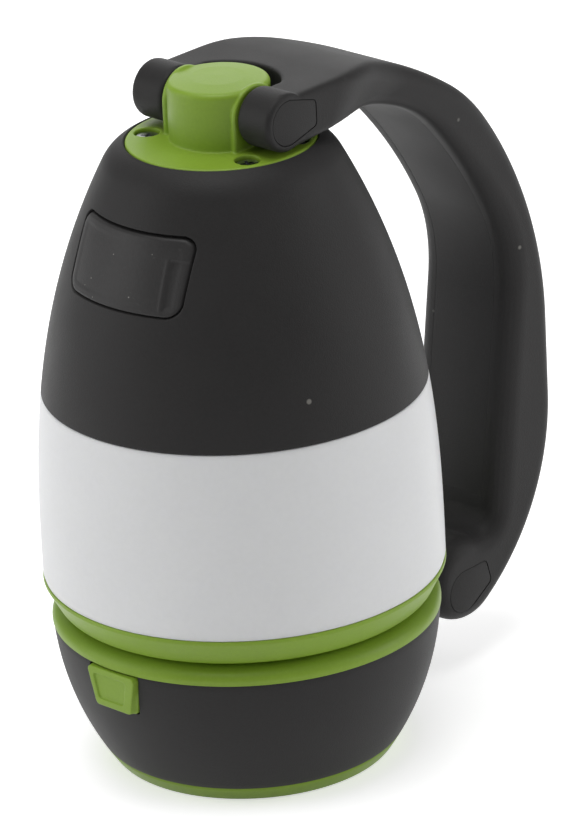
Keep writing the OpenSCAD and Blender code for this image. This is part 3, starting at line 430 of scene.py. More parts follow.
# ---------------- handle
FORK_TOP_Z, FORK_UNDER_Z = TOP_PIVOT[1] + 6.2, TOP_PIVOT[1] - 7.7
BACK_Y = BODY_R + 53.4
CROWN_ARCS = [(55, 18.6), (135, 15.8), (50, 19.2), (105.5, 36.4)]  # radius and degrees of each arc
PALM_ARCS = [(85, 21.6), (41.5, 25.8), (126, 16.7), (43, 34.1)]
BACK_R, END_R, HEEL_R, CORNER_R = 62.1, 14.4, 11.7, 6.0
HEEL_TURN = 125.0
END_C = LOW_PIVOT + np.array([2.6, 5.0])
BACK_C = np.array([BACK_Y - BACK_R, 0.0])
BACK_C[1] = END_C[1] + math.sqrt((BACK_R - END_R) ** 2 - (END_C[0] - BACK_C[0]) ** 2)
END_TURN = math.degrees(math.atan2(BACK_C[1] - END_C[1], END_C[0] - BACK_C[0]))
HEEL_C = END_C + (END_R - HEEL_R) * heading(-HEEL_TURN)
FORK_STATIONS, ARCH_STATIONS, BACK_STATIONS, LOWER_STATIONS, END_STATIONS = 26, 110, 18, 60, 36
HEEL_FROM_END, HEEL_BLEND = 60, 40.0  # stations where the inner edge grows rounder
ARM_HALF, ARM_TOP_Z, ARM_GROWTH = 15.5, 158, 62  # the arm is narrowest at its top
FORK_END_Y, FORK_TAPER = 17.3, 34.0
FORK_ABOVE_Z = 150
GRIP_EDGE_R, FORK_EDGE_R, PALM_EDGE_R = 4.5, 2.0, 3.0
NOTCH_R, LUG_SLOT_R = 15.9, 8.35
EAR_R, EAR_IN, EAR_EDGE = 7.7, 13.0, 1.3
COVER_HALF, COVER_DEPTH = 10.3, 2.25
CAP_R, CAP_TIP, CAP_TIP_R, CAP_TIP_HALF, CAP_DEPTH = 5.9, 8.7, 1.5, 2.224, 2.0
# place, half width of the handle there and turn of the caps, which lean along the grip below
PIVOTS = {"upper": (TOP_PIVOT, FORK_HALF, 0), "lower": (LOW_PIVOT, GRIP_HALF, 16)}


def arc_chain(start, arcs, side):
    """Points, outward normals and whole turn of arcs that bend down from level, one after
    another; side is 1 for the outer line and -1 for the inner one."""
    points, normals = [], []
    place, turn = np.asarray(start, float), 0.0
    for radius, bend in arcs:
        angle = math.radians(turn)
        centre = place - radius * np.array([math.sin(angle), math.cos(angle)])
        stretch, outward = arc(centre, radius, 90 - turn, 90 - turn - bend, 50)
        points.append(stretch)
        normals.append(side * outward)
        turn += bend
        place = stretch[-1]
    return np.concatenate(points), np.concatenate(normals), turn


crown_line, crown_normals, _ = arc_chain([0, FORK_TOP_Z], CROWN_ARCS, 1)
CROWN_Y, BACK_Z = BACK_Y - crown_line[-1, 0], crown_line[-1, 1]
PALM_START = np.array([CROWN_Y - 4.0, TOP_PIVOT[1] - 6.3])
palm_line, palm_normals, palm_turn = arc_chain(PALM_START, PALM_ARCS, -1)
PALM_OUT = heading(90 - palm_turn)  # across the straight palm, away from the head
PALM_DOWN = np.array([PALM_OUT[1], -PALM_OUT[0]])


def hollow_corner():
    """Centre of the arc between the straight palm and the heel, and where it meets the heel."""
    axis = palm_line[-1] - CORNER_R * PALM_OUT
    along = float((HEEL_C - axis) @ PALM_DOWN)
    off = np.linalg.norm(axis + along * PALM_DOWN - HEEL_C)
    centre = axis + (along - math.sqrt((HEEL_R + CORNER_R) ** 2 - off ** 2)) * PALM_DOWN
    return centre, math.degrees(math.atan2(centre[1] - HEEL_C[1], centre[0] - HEEL_C[0]))


CORNER_C, CONTACT = hollow_corner()
PALM_END = CORNER_C + CORNER_R * PALM_OUT


def resample(points, normals, count):
    """The same line with evenly spaced points."""
    along = np.r_[0, np.cumsum(np.linalg.norm(np.diff(points, axis=0), axis=1))]
    places = np.linspace(0, along[-1], count)
    line = np.stack([np.interp(places, along, points[:, k]) for k in (0, 1)], -1)
    outward = np.stack([np.interp(places, along, normals[:, k]) for k in (0, 1)], -1)
    return line, outward / np.linalg.norm(outward, axis=1)[:, None]


def straight(start, end, normal, count):
    """Points from start to end, all with one normal."""
    return np.linspace(start, end, count), np.tile(normal, (count, 1))


def joined(*stretches):
    """Joins stretches of points and normals into one line."""
    return tuple(np.concatenate(part) for part in zip(*stretches))


def handle_lines():
    """Outer and inner line of the handle, with their outward normals, station by station."""
    rise = (PALM_START[1] - FORK_UNDER_Z) / PALM_START[0]
    under = np.array([rise, -1.0]) / math.hypot(rise, 1.0)
    middle = palm_line[-1] + (PALM_END - palm_line[-1]) * 0.45
    corner, corner_out = arc(CORNER_C, CORNER_R, 90 - palm_turn, CONTACT - 180, 30)
    outer = joined(
        straight([0, FORK_TOP_Z], [CROWN_Y, FORK_TOP_Z], [0.0, 1.0], FORK_STATIONS),
        resample(crown_line + [CROWN_Y, 0], crown_normals, ARCH_STATIONS),
        straight([BACK_Y, BACK_Z], [BACK_Y, BACK_C[1]], [1.0, 0], BACK_STATIONS),
        resample(*arc(BACK_C, BACK_R, 0, -END_TURN, 80), LOWER_STATIONS),
        resample(*joined(arc(END_C, END_R, -END_TURN, -HEEL_TURN, 40),
                         arc(HEEL_C, HEEL_R, -HEEL_TURN, -180, 30)), END_STATIONS))
    inner = joined(
        straight([0, FORK_UNDER_Z], PALM_START, under, FORK_STATIONS),
        resample(palm_line, palm_normals, ARCH_STATIONS),
        straight(palm_line[-1], middle, -PALM_OUT, BACK_STATIONS),
        resample(*joined(straight(middle, PALM_END, -PALM_OUT, 20), (corner, -corner_out)),
                 LOWER_STATIONS),
        resample(*arc(HEEL_C, HEEL_R, CONTACT, 180, 40), END_STATIONS))
    return outer, inner


def grip_half(y, z):
    """Half width of the handle at a station."""
    arm = ARM_HALF + (GRIP_HALF - ARM_HALF) * smooth_step((ARM_TOP_Z - z) / ARM_GROWTH)
    taper = smooth_step((y - FORK_END_Y) / FORK_TAPER)
    in_fork = (z > FORK_ABOVE_Z) & (y < FORK_END_Y + FORK_TAPER)
    return np.where(in_fork, FORK_HALF + (arm - FORK_HALF) * taper, arm)


def edge_radii(middle):
    """Radii of the handle's outer and inner edges at its stations."""
    y, z = middle.T
    fork = np.where(z > FORK_ABOVE_Z, 1 - smooth_step((y - 14) / 26), 0)
    low = smooth_step((165 - z) / 60)
    heel = smooth_step((np.arange(len(z)) - (len(z) - HEEL_FROM_END)) / HEEL_BLEND)
    outer = GRIP_EDGE_R * (1 - fork) + FORK_EDGE_R * fork
    inner = PALM_EDGE_R * (1 + low) * (1 - fork) + FORK_EDGE_R * fork
    return outer, inner * (1 - heel) + GRIP_EDGE_R * heel


EDGE_POINTS, SIDE_POINTS, FACE_POINTS = 7, 9, 5


def station_loop(outer, outer_normal, outer_radius, inner, inner_normal, inner_radius, half):
    """One cross-section of the handle: outer face, right side, inner face and left side."""
    quarter = np.linspace(0, math.pi / 2, EDGE_POINTS)
    loop = []

    def edge(point, normal, radius, side, angles):
        for angle in angles:
            y, z = point - normal * radius * (1 - math.cos(angle))
            loop.append((side * (half - radius + radius * math.sin(angle)), y, z))

    def face(point, reach):
        for x in np.linspace(-reach, reach, FACE_POINTS + 2)[1:-1]:
            loop.append((x, *point))

    def flank(x, start, end):
        for share in np.linspace(0, 1, SIDE_POINTS + 2)[1:-1]:
            loop.append((x, *(start + (end - start) * share)))

    high, low = outer - outer_normal * outer_radius, inner - inner_normal * inner_radius
    edge(outer, outer_normal, outer_radius, -1, quarter[::-1])
    face(outer, half - outer_radius)
    edge(outer, outer_normal, outer_radius, 1, quarter)
    flank(half, high, low)
    edge(inner, inner_normal, inner_radius, 1, quarter[::-1])
    face(inner, inner_radius - half)
    edge(inner, inner_normal, inner_radius, -1, quarter)
    flank(-half, low, high)
    return loop


def folded_end(first):
    """Faces that close the last loop, whose outer and inner face meet at the heel."""
    width = 2 * EDGE_POINTS + FACE_POINTS
    above = [first + i for i in range(width)]
    right = [first + width + i for i in range(SIDE_POINTS)]
    below = [first + width + SIDE_POINTS + i for i in range(width)][::-1]
    left = [first + 2 * width + SIDE_POINTS + i for i in range(SIDE_POINTS)]
    faces = [(above[i], above[i + 1], below[i + 1], below[i]) for i in range(width - 1)]
    return faces + [(above[-1], *right, below[-1]), (below[0], *left, above[0])]


def handle_mesh():
    """The rough solid of the handle, without its ears and cuts."""
    (outer, outer_normals), (inner, inner_normals) = handle_lines()
    middle = (outer + inner) / 2
    outer_radii, inner_radii = edge_radii(middle)
    halves = grip_half(middle[:, 0], middle[:, 1])
    loops = [station_loop(*station) for station in zip(
        outer, outer_normals, outer_radii, inner, inner_normals, inner_radii, halves)]
    count = len(loops[0])
    faces = [tuple(range(count))] + ring_faces(len(loops), count)
    faces += folded_end((len(loops) - 1) * count)
    verts = np.array(loops).reshape(-1, 3)
    return make("handle_moulding", verts, faces, None, weld=0.02, sharp=0)


def boss_notch():
    """Room for the boss between the ears, straight at the ears and round behind."""
    line = np.clip(circle(NOTCH_R, 96), [-EAR_IN, -NOTCH_R], [EAR_IN, NOTCH_R])
    return prism("notch", line, "Z", 160, 200)


def lug_slot():
    """Room for the base's lug, from its seat out to the front and down."""
    radius, reach = LUG_SLOT_R, 60.0
    up, left, out = np.array([0, radius]), np.array([reach, 0]), reach * heading(225)
    down = radius * heading(315)
    band = LOW_PIVOT + np.array([up, up - left, -up - left, out - down, out + down, down])
    return [rod("lug_round", "X", LOW_PIVOT, radius, -radius, radius, count=96),
            prism("lug_band", band, "X", -radius, radius)]


def cap_line(centre, turn, gap):
    """Drop-shaped outline of a hinge cap."""
    head, _ = arc([0, 0], CAP_R + gap, 75, 285, 36)
    low_tip, _ = arc([CAP_TIP, -CAP_TIP_HALF], CAP_TIP_R + gap, -75, 0, 8)
    high_tip, _ = arc([CAP_TIP, CAP_TIP_HALF], CAP_TIP_R + gap, 0, 75, 8)
    cosine, sine = heading(turn)
    rotation = np.array([[cosine, sine], [-sine, cosine]])
    return np.concatenate([head, low_tip, high_tip]) @ rotation + centre


def cover_strip(name, top, depth, half, overrun, edge, mat=None):
    """A strip along the palm line, from top to depth below its surface."""
    line = np.concatenate([palm_line, [PALM_END + (overrun - 3.0) * PALM_DOWN]])
    normals = np.concatenate([palm_normals, [-PALM_OUT]])
    apart = np.r_[True, np.linalg.norm(np.diff(line, axis=0), axis=1) > 1e-4]
    line, normals = line[apart], normals[apart]
    end = np.linspace(line[-2], line[-1], 30)[1:]
    line = np.concatenate([[line[0] - [overrun, 0]], line[:-1], end])
    normals = np.concatenate([normals[:1], normals[:-1], np.tile(normals[-1], (len(end), 1))])
    section = fillet([(-half, -top), (half, -top), (half, -depth), (-half, -depth)],
                     [edge, edge, 0, 0], 4)
    verts = [(x, *(point + normal * height)) for point, normal in zip(line, normals)
             for x, height in section]
    count = len(section)
    last = (len(line) - 1) * count
    faces = [tuple(range(count)), tuple(range(last, last + count))]
    return make(name, verts, faces + ring_faces(len(line), count), mat, weld=0.001)


def handle_piece():
    """The moulding of the handle, with crisp beds for its cover and its caps."""
    handle = handle_mesh()
    boolean(handle, [rod("ear", "X", TOP_PIVOT, EAR_R, lo, hi, edge=EAR_EDGE, count=96)
                     for lo, hi in both_sides(EAR_IN, FORK_HALF)], "UNION")
    boolean(handle, [boss_notch(), *lug_slot()], "DIFFERENCE")
    moulded(handle, 0.42, 5, None)
    gap, past = 0.05, 2
    cuts = [cover_strip("bed", -1.5, COVER_DEPTH + 0.15, COVER_HALF + gap, gap, 0)]
    for side in (0, 1):
        for centre, half, turn in PIVOTS.values():
            lo, hi = both_sides(half - CAP_DEPTH - 0.1, half + past)[side]
            cuts.append(prism("pocket", cap_line(centre, turn, SEAM_GAP), "X", lo, hi))
            lo, hi = both_sides(half - PIVOT_SEAT_DEPTH, half + past)[side]
            cuts.append(rod("seat", "X", centre, PIVOT_SEAT_R, lo, hi, count=48))
    boolean(handle, cuts, "DIFFERENCE")
    finish_mesh(handle, DARK, 40)
    own(handle, "handle", "dark_plastic", "handle_shell")


def cap_pieces():
    """The two upper and the two lower hinge caps."""
    for number, side in enumerate(("left", "right")):
        for level, (centre, half, turn) in PIVOTS.items():
            lo, hi = both_sides(half - CAP_DEPTH, half - 0.05)[number]
            cap = prism(f"{level}_hinge_cap_{side}", cap_line(centre, turn, 0.0), "X", lo, hi,
                        mat=CAP_DARK, edge=0.25)
            own(cap, "handle", "dark_plastic", f"{level}_cap_{side}")


handle_piece()
own(cover_strip("grip_cover", 0.0, COVER_DEPTH, COVER_HALF, 0, 0.1, DARK),
    "handle", "dark_plastic", "handle_cover")
cap_pieces()

# ---------------- base
BOWL_WALL = 2.6
LATCH_LOW_HALF, LATCH_HIGH_HALF, LATCH_LOW_Z, LATCH_TOP_Z = 6.9, 8.6, 27.2, 38.35
LATCH_FRONT_Y, LATCH_LEAN = -51.4, 0.047  # its face, and how much that falls back per mm down
LATCH_BACK_Y = 4.0 - float(base_r(32.1))  # where the button ends and its hook's arm starts
HOOK_HALF, HOOK_Y, HOOK_TOP_Z = 3.8, -41.98, 48.2
PAD_IN, PAD_OUT, PAD_H = 21.0, 31.0, 1.0


def bracket_piece():
    """The block behind the bowl, with the lug that the handle turns on."""
    half, back_y, lug_r, edge = 16, 53.7, 8.0, 0.6
    line = fillet([(-half, 30), (half, 30), (half, back_y), (-half, back_y)], [0, 0, 3, 3], 8)
    bracket = prism("hinge_bracket", line, "Z", 15.0, 35.5, edge=1.2, steps=4)
    boolean(bracket, [box("inside", -60, 60, 0, 44.5, 0, 60)], "DIFFERENCE")
    lug = rod("lug", "X", LOW_PIVOT, lug_r, -lug_r, lug_r, edge=edge, count=96)
    neck = box("neck", -lug_r, lug_r, 46.0, LOW_PIVOT[0], LOW_PIVOT[1] - lug_r, LOW_PIVOT[1] + lug_r,
               edge=edge)
    boolean(bracket, [lug, neck], "UNION")
    moulded(bracket, 0.4, 6, DARK)
    own(bracket, "base", "dark_plastic")


def trapezoid(low_half, high_half, low_z, high_z, radius):
    """Outline with level edges, a narrow foot and round corners."""
    return fillet([(-low_half, low_z), (low_half, low_z), (high_half, high_z), (-high_half, high_z)],
                  [radius] * 4, 6)


def latch_line(grow, radius):
    """Outline of the latch where it enters the bowl, made larger all round by grow."""
    return trapezoid(LATCH_LOW_HALF + grow, LATCH_HIGH_HALF + grow, LATCH_LOW_Z - grow,
                     LATCH_TOP_Z + grow, radius)


def latch_opening():
    """The block that opens the bowl and its rim for the latch."""
    return prism("pocket", latch_line(0.2, 0.9), "Y", -60, -44.0)


def bowl_piece():
    """The dark bowl, open for the latch."""
    heights = np.linspace(FOOT_Z, RIM_Z, 40)
    outer = np.stack([base_r(heights), heights], -1)
    inner = (outer - [BOWL_WALL, 0])[::-1]
    outer[0, 0] -= 0.25
    outer[-1, 0] -= 0.2
    bowl = lathe("bowl_moulding", np.concatenate([outer, inner]), None)
    boolean(bowl, [latch_opening()], "DIFFERENCE")
    finish_mesh(bowl, DARK, 30)
    own(bowl, "base", "dark_plastic", "base_bowl")


def latch_housing():
    """The wall behind the latch, seen where the bowl is open."""
    housing = box("latch_housing", -11, 11, -44.3, -42.8, 23.2, 36.2, edge=0.3)
    finish_mesh(housing, CAP_DARK, 35)
    own(housing, "base", "dark_plastic")


def screw_holes(pitch_r, lo, hi):
    """Four screw holes, midway between the axes."""
    return [rod("hole", "Z", pitch_r * heading(45 + 90 * k), SCREW_BORE_R, lo, hi, count=40)
            for k in range(4)]


def foot_piece():
    """The foot ring, with the bed of its rubber, a lip into the bowl and its screw holes."""
    heights = np.linspace(1.0, FOOT_Z, 8)
    bed_in, bed_out = PAD_IN - 0.15, PAD_OUT + 0.15
    lip_in, lip_out, lip_z, floor_z = 35.1, 36.7, 6.3, 3.4
    outline = np.concatenate([
        [(0, 0.0), (bed_in, 0.0), (bed_in, PAD_H), (bed_out, PAD_H), (bed_out, 0.0)],
        fillet([(33, 0), (36.9, 0), (37.4, 1.0)], [0, 0.9, 0], 6)[1:-1],
        np.stack([base_r(heights), heights], -1)[:-1],
        [(base_r(FOOT_Z) - 0.25, FOOT_Z), (lip_out, FOOT_Z), (lip_out, lip_z), (lip_in, lip_z),
         (lip_in, floor_z), (0, floor_z)]])
    foot = lathe("foot_ring", outline, None)
    boolean(foot, screw_holes(15, -1, 2.4), "DIFFERENCE")
    finish_mesh(foot, GREEN, 30)
    own(foot, "base", "green_plastic", "base_foot")


def pad_piece():
    """The rubber ring in the foot."""
    line = fillet([(PAD_IN, 0), (PAD_OUT, 0), (PAD_OUT, PAD_H), (PAD_IN, PAD_H)], [0.25] * 4, 4)
    own(lathe("foot_rubber", line, RUBBER, turns=192), "base", "rubber", "foot_pad")


def rim_piece():
    """The green rim of the base, its roll a quarter ellipse, with its dish."""
    roll_r, roll_z, roll_width, roll_height = 45.2, 39.5, 5.65, 3.6
    under_z, wall_r, seat_z, dish_r, dish_z = 36.4, 47.6, RIM_Z + 0.06, 39.85, 38.6
    angles = np.radians(np.linspace(0, 84, 26))
    roll = np.stack([roll_r + roll_width * np.cos(angles), roll_z + roll_height * np.sin(angles)], -1)
    outline = np.concatenate([
        [(0, under_z), (wall_r, under_z), (wall_r, seat_z), (50.7, seat_z), (50.82, RIM_Z + 0.2)],
        roll,
        fillet([(roll_r, 43.1), (44.8, 43.0), (dish_r, dish_z), (0, dish_z)],
               [0, 0.25, 2.0, 0], 6)[1:]])
    rim = lathe("base_rim", outline, None)
    boolean(rim, [latch_opening(), box("slot", -4.2, 4.2, -46.3, -40.2, 30, 50)], "DIFFERENCE")
    finish_mesh(rim, GREEN, 30)
    own(rim, "base", "green_plastic", "base_tray")


def leaning(ob):
    """Sets the points of ob back by LATCH_LEAN for each mm below the button's top."""
    for v in ob.data.vertices:
        v.co.y += LATCH_LEAN * max(0.0, LATCH_TOP_Z * MM - v.co.z)
    return ob


def latch_face(depth, radius):
    """A block that widens from the button's face to the latch's outline."""
    back = latch_line(0, radius)
    front = trapezoid(LATCH_LOW_HALF - 0.9, LATCH_HIGH_HALF - 0.2, LATCH_LOW_Z + 0.3,
                      LATCH_TOP_Z - 0.15, radius)
    face = prism("latch_press", front, "Y", LATCH_FRONT_Y, LATCH_FRONT_Y + depth)
    for v in face.data.vertices:
        if v.index >= len(back):
            x, z = back[v.index % len(back)]
            v.co.x, v.co.z = x * MM, z * MM
    return leaning(face)


def latch_piece():
    """The button, a soft trapezoid with a raised frame, and the hook behind it."""
    button = latch_face(2.6, 1.2)
    boolean(button, [prism("stem", latch_line(-0.03, 1.2), "Y", LATCH_FRONT_Y + 2.2, LATCH_BACK_Y)],
            "UNION")
    dent = trapezoid(4.4, 5.8, 29.4, 36.5, 1.0) - [0.6, 0]
    boolean(button, [leaning(prism("dent", dent, "Y", LATCH_FRONT_Y - 1, LATCH_FRONT_Y + 0.5))],
            "DIFFERENCE")
    boolean(button, [
        box("arm", -HOOK_HALF, HOOK_HALF, LATCH_BACK_Y - 1, HOOK_Y, 36.1, 38.3),
        box("hook", -HOOK_HALF, HOOK_HALF, HOOK_Y - 1.6, HOOK_Y, 36.2, HOOK_TOP_Z),
        box("nose", -HOOK_HALF, HOOK_HALF, HOOK_Y - 2.6, HOOK_Y - 1.02, 46.95, HOOK_TOP_Z)], "UNION")
    moulded(button, 0.18, 5, GREEN)
    own(button, "latch", "green_plastic", "latch_button")


bowl_piece()
bracket_piece()
latch_housing()
foot_piece()
pad_piece()
rim_piece()
latch_piece()

# ---------------- head
FLAP_X, FLAP_Z, FLAP_TILT = -0.4, 144.7, 22.0  # middle of the flap, and lean of the shell there
FLAP_HALF, FLAP_RISE, FLAP_CORNER, FLAP_DEPTH = 19.0, 9.3, 3.6, 2.0
FLAP_COS = math.cos(math.radians(FLAP_TILT))
KNOB_Z, KNOB_TILT, KNOB_R, KNOB_BED_R = 148.9, 22.84, 7.0, 7.45
DISH_COS = math.cos(math.radians(22.8))
SHOULDER_Z, PLATE_BED_Z, PLATE_R = PLATE_Z - 5.7, 164.7, 24.55
BOSS_R, BOSS_Z, BOSS_EDGE, BOSS_HALF = 13.2, PLATE_Z + 15.7, 1.5, 12.7


def bezel_piece():
    """The green ring under the diffuser, with the keeper of the latch and the screw holes."""
    outline = fillet(
        [(19.3, BEZEL_Z), (48.79, BEZEL_Z), (49.4, 44.85), (52.62, DIFFUSER_Z - 0.9),
         (52.45, DIFFUSER_Z), (49.35, DIFFUSER_Z), (49.35, 48.25), (47.6, 48.25), (46.3, 46.6),
         (22.5, 46.6), (22.5, 47.8), (20.65, 47.8), (20.65, 45.4), (19.3, 45.4)],
        [0.3, 0.4, 0.6, 0.7, 0.4, 0.2, 0, 0, 0, 0, 0, 0, 0, 0.2], 5)
    bezel = lathe("head_bezel", outline, None)
    boolean(bezel, [box("keeper", -4.4, 4.4, -45.0, -37.5, 40, 48),
                    *screw_holes(33, 40, BEZEL_Z + 2.35)], "DIFFERENCE")
    finish_mesh(bezel, GREEN, 30)
    own(bezel, "head", "green_plastic", "lower_bezel")


def diffuser_piece():
    """The milky ring between the bezel and the shell, with its two sunk lips."""
    low, high, wall = DIFFUSER_Z + SEAM_GAP, SHELL_Z - SEAM_GAP, 2.0
    heights = np.linspace(low, high, 60)
    outer = np.stack([head_r(heights), heights], -1)
    inner = (outer - [wall, 0])[::-1][2:-2]
    outer[[0, -1], 0] -= 0.25
    outline = np.concatenate([[(47.8, 49.25), (49.2, 49.25), (49.2, low)], outer,
                              [(46.8, high), (46.8, 104.5), (45.4, 104.5), (45.4, 99.8)], inner,
                              [(47.8, 54.0)]])
    own(lathe("diffuser_skin", outline, MILKY, sharp=40), "head", "diffuser", "diffuser")


def outside_of(x, z, half_x, half_z, corner):
    """Distance outside a rectangle with round corners; it is negative inside."""
    past_x, past_z = np.abs(x) - half_x + corner, np.abs(z) - half_z + corner
    beyond = np.hypot(np.maximum(past_x, 0), np.maximum(past_z, 0))
    return beyond + np.minimum(np.maximum(past_x, past_z), 0) - corner


def shell_shoulder():
    """The arc that leads from the pear's side to the top plate."""
    start = np.array([float(head_r(SHOULDER_Z)), SHOULDER_Z])
    step = 0.01
    slope = (head_r(start[1] + step) - head_r(start[1])) / step
    first = 90 + math.degrees(math.atan(-slope))
    chord = np.array([24.72, PLATE_Z]) - start
    bend = 2 * (math.degrees(math.atan2(chord[1], chord[0])) - first)
    radius = np.linalg.norm(chord) / 2 / math.sin(math.radians(bend / 2))
    angle = math.radians(first)
    centre = start - radius * np.array([math.sin(angle), -math.cos(angle)])
    shoulder, _ = arc(centre, radius, first - 90, first - 90 + bend, 16)
    shoulder[-1] += [0.35, -0.12]
    return shoulder


def bed_depths(x, z, angles):
    """Depth of the beds of the port flap and of the power button at points of the shell."""
    facing = np.cos(angles)[:, None]
    shift, room = 0.25, 0.55  # the gap round the flap is wider above and to the right
    past = outside_of(x - FLAP_X - shift, (z - FLAP_Z) / FLAP_COS - shift, FLAP_HALF + room,
                      FLAP_RISE / FLAP_COS + room, 4.0)
    flap_bed = np.where(facing > 0.3, 2.3 * smooth_step((0.1 - past) / 0.36), 0)
    past = np.hypot(x, (z - KNOB_Z) / DISH_COS) - KNOB_BED_R
    dish = 0.5 * np.exp(-(np.maximum(past, 0) / 1.6) ** 2)
    knob_bed = np.where(facing < -0.3, 2.0 * smooth_step((0.1 - past) / 0.45) + dish, 0)
    return flap_bed + knob_bed


def shell_piece():
    """The pear's skin, with the beds of the flap and the power button."""
    shoulder = shell_shoulder()
    heights = np.unique(np.r_[np.linspace(SHELL_Z + 0.2, 132.0, 34), np.linspace(132.0, 158.5, 118),
                              np.linspace(158.5, SHOULDER_Z, 8)])
    side = np.stack([head_r(heights), heights], -1)
    wall, roof_z, lip_z, lip_top_z, hole_r = 2.4, 162.3, 107.0, 109.0, 15
    inner_z = np.linspace(roof_z, lip_top_z, 20)
    foot_r = float(head_r(SHELL_Z))
    outline = np.concatenate([
        [(foot_r - 0.3, SHELL_Z)], side, shoulder[1:],
        [(24.75, PLATE_Z - 0.35), (24.7, PLATE_BED_Z), (hole_r, PLATE_BED_Z), (hole_r, roof_z)],
        np.stack([head_r(inner_z) - wall, inner_z], -1),
        [(45.0, lip_top_z), (45.0, lip_z), (47.0, lip_z), (foot_r - wall, SHELL_Z)]])
    # fine steps where the beds are
    turns = np.unique(np.round(np.r_[np.linspace(-38, 38, 300), np.linspace(38, 168, 80),
                                     np.linspace(168, 192, 70), np.linspace(192, 322, 80)], 4))
    angles = np.radians(turns[turns < 321.999])
    radii = np.repeat(outline[:, 0][None], len(angles), 0)
    skin = slice(1, 1 + len(side))
    x = radii[:, skin] * np.sin(angles)[:, None]
    radii[:, skin] -= 0.92 * bed_depths(x, outline[skin, 1], angles)
    verts = turned(angles, radii, outline[:, 1])
    faces = turned_faces(len(angles), outline[:, 0])
    shell = make("shell_moulding", verts, faces, DARK, weld=0.0005, sharp=50)
    own(shell, "head", "dark_plastic", "head_shell")


def flap_outline():
    """The flap's outline laid flat, with evenly spaced points."""
    rise = FLAP_RISE / FLAP_COS
    line = fillet([(-FLAP_HALF, -rise), (FLAP_HALF, -rise), (FLAP_HALF, rise), (-FLAP_HALF, rise)],
                  [FLAP_CORNER] * 4, 16)
    line = np.concatenate([line, line[:1]])
    along = np.r_[0, np.cumsum(np.linalg.norm(np.diff(line, axis=0), axis=1))]
    places = np.linspace(0, along[-1], 361)[:-1]
    return np.stack([np.interp(places, along, line[:, k]) for k in (0, 1)], -1)


def flap_relief(x, v):
    """Depth of the finger scoop with its ridge, and of the dish over the whole flap."""
    flank = x - 14.2 + 0.03 * v
    across = smooth_step(flank / 0.8) * (1 - 0.45 * smooth_step((flank - 1.4) / 3.2))
    scoop = across * smooth_step((4.9 - v) / 0.9) * smooth_step((v + 9.4) / 2.4)
    ridge = np.exp(-((flank + 0.25) / 0.4) ** 2)
    ridge = ridge * smooth_step((5.2 - v) / 0.8) * smooth_step((v + 9) / 1.5)
    inside = -outside_of(x, v, FLAP_HALF, FLAP_RISE / FLAP_COS, FLAP_CORNER)
    return 0.62 * scoop - 0.16 * ridge + 0.12 * smooth_step((inside - 1.6) / 1.4)


def on_shell(flat, depth):
    """Wraps flat points on the shell's front, at a depth under its skin."""
    x, z = flat[..., 0] + FLAP_X, FLAP_Z + flat[..., 1] * FLAP_COS
    return np.stack([x, -np.sqrt((head_r(z) - depth) ** 2 - x ** 2), z], -1)


def flap_piece():
    """The port flap: a rubber door with a round edge and a scoop at its free end."""
    line = flap_outline()
    count = len(line)
    normals = outward_normals(line)
    edge = 0.75
    rings = [(0.0, FLAP_DEPTH), (0.0, edge)]  # inset and depth of each ring
    for angle in np.linspace(0, math.pi / 2, 6)[1:]:
        rings.append((edge * (1 - math.cos(angle)), edge * (1 - math.sin(angle))))
    flat = [line - normals * inset for inset, _ in rings]
    flat += [(line - normals * edge) * share for share in np.linspace(1, 0, 60)[1:]]
    flat = np.array(flat)
    depths = np.zeros(flat.shape[:2])
    depths[:len(rings)] = np.array([depth for _, depth in rings])[:, None]
    front = on_shell(flat, depths + flap_relief(flat[..., 0], flat[..., 1]) - 0.06)
    back = np.array([line * share for share in np.linspace(1, 0, 14)[1:]])
    back = on_shell(back, FLAP_DEPTH + 0.06)
    behind = len(front) * count
    faces = ring_faces(len(front), count)
    for i in range(count):
        beside = (i + 1) % count
        faces.append((i, beside, behind + beside, behind + i))
    faces += ring_faces(len(back), count, behind)
    verts = np.concatenate([front.reshape(-1, 3), back.reshape(-1, 3)])
    own(make("port_door", verts, faces, FLAP, weld=0.0004, sharp=60), "flap", "rubber", "port_flap")


def knob_piece():
    """The power button on the back of the shell, with a shallow dish."""
    outline = fillet([(0, -5.35), (8.5, -5.35), (8.5, -4.4), (KNOB_R, -4.4), (KNOB_R, 0.85), (5.2, 0.85),
                      (4.6, 0.55), (0, 0.55)], [0, 0.2, 0.2, 0.2, 0.7, 0.3, 0.4, 0], 5)
    knob = lathe("power_knob", outline, RUBBER, turns=128)
    place = Matrix.Translation((0, float(head_r(KNOB_Z)) * MM, KNOB_Z * MM))
    knob.data.transform(place @ Matrix.Rotation(math.radians(KNOB_TILT) - math.pi / 2, 4, "X"))
    own(knob, "power_button", "rubber", "power_button")


def boss():
    """The round boss between the ears, with a raised band at each end."""
    edge, _ = arc([BOSS_R - BOSS_EDGE, BOSS_Z - BOSS_EDGE], BOSS_EDGE, 0, 84, 10)
    outline = np.concatenate([[(0, 165.0), (BOSS_R, 165.0)], edge,
                              [(7, BOSS_Z + 0.6), (0, BOSS_Z + 0.85)]])
    body = lathe("boss", outline, None, turns=192)
    cheek_r = 8.0
    cheek, _ = arc(TOP_PIVOT, cheek_r, 0, 180, 60)
    cheek = np.concatenate([cheek, [(-cheek_r, 165.0), (cheek_r, 165.0)]])
    bands = both_sides(11.2, BOSS_HALF)[::-1]
    boolean(body, [prism("cheek", cheek, "X", lo, hi, edge=0.35) for lo, hi in bands], "UNION")
    flanks = both_sides(BOSS_HALF, 30)[::-1]
    boolean(body, [box("flank", lo, hi, -30, 30, 150, 200) for lo, hi in flanks], "DIFFERENCE")
    return body


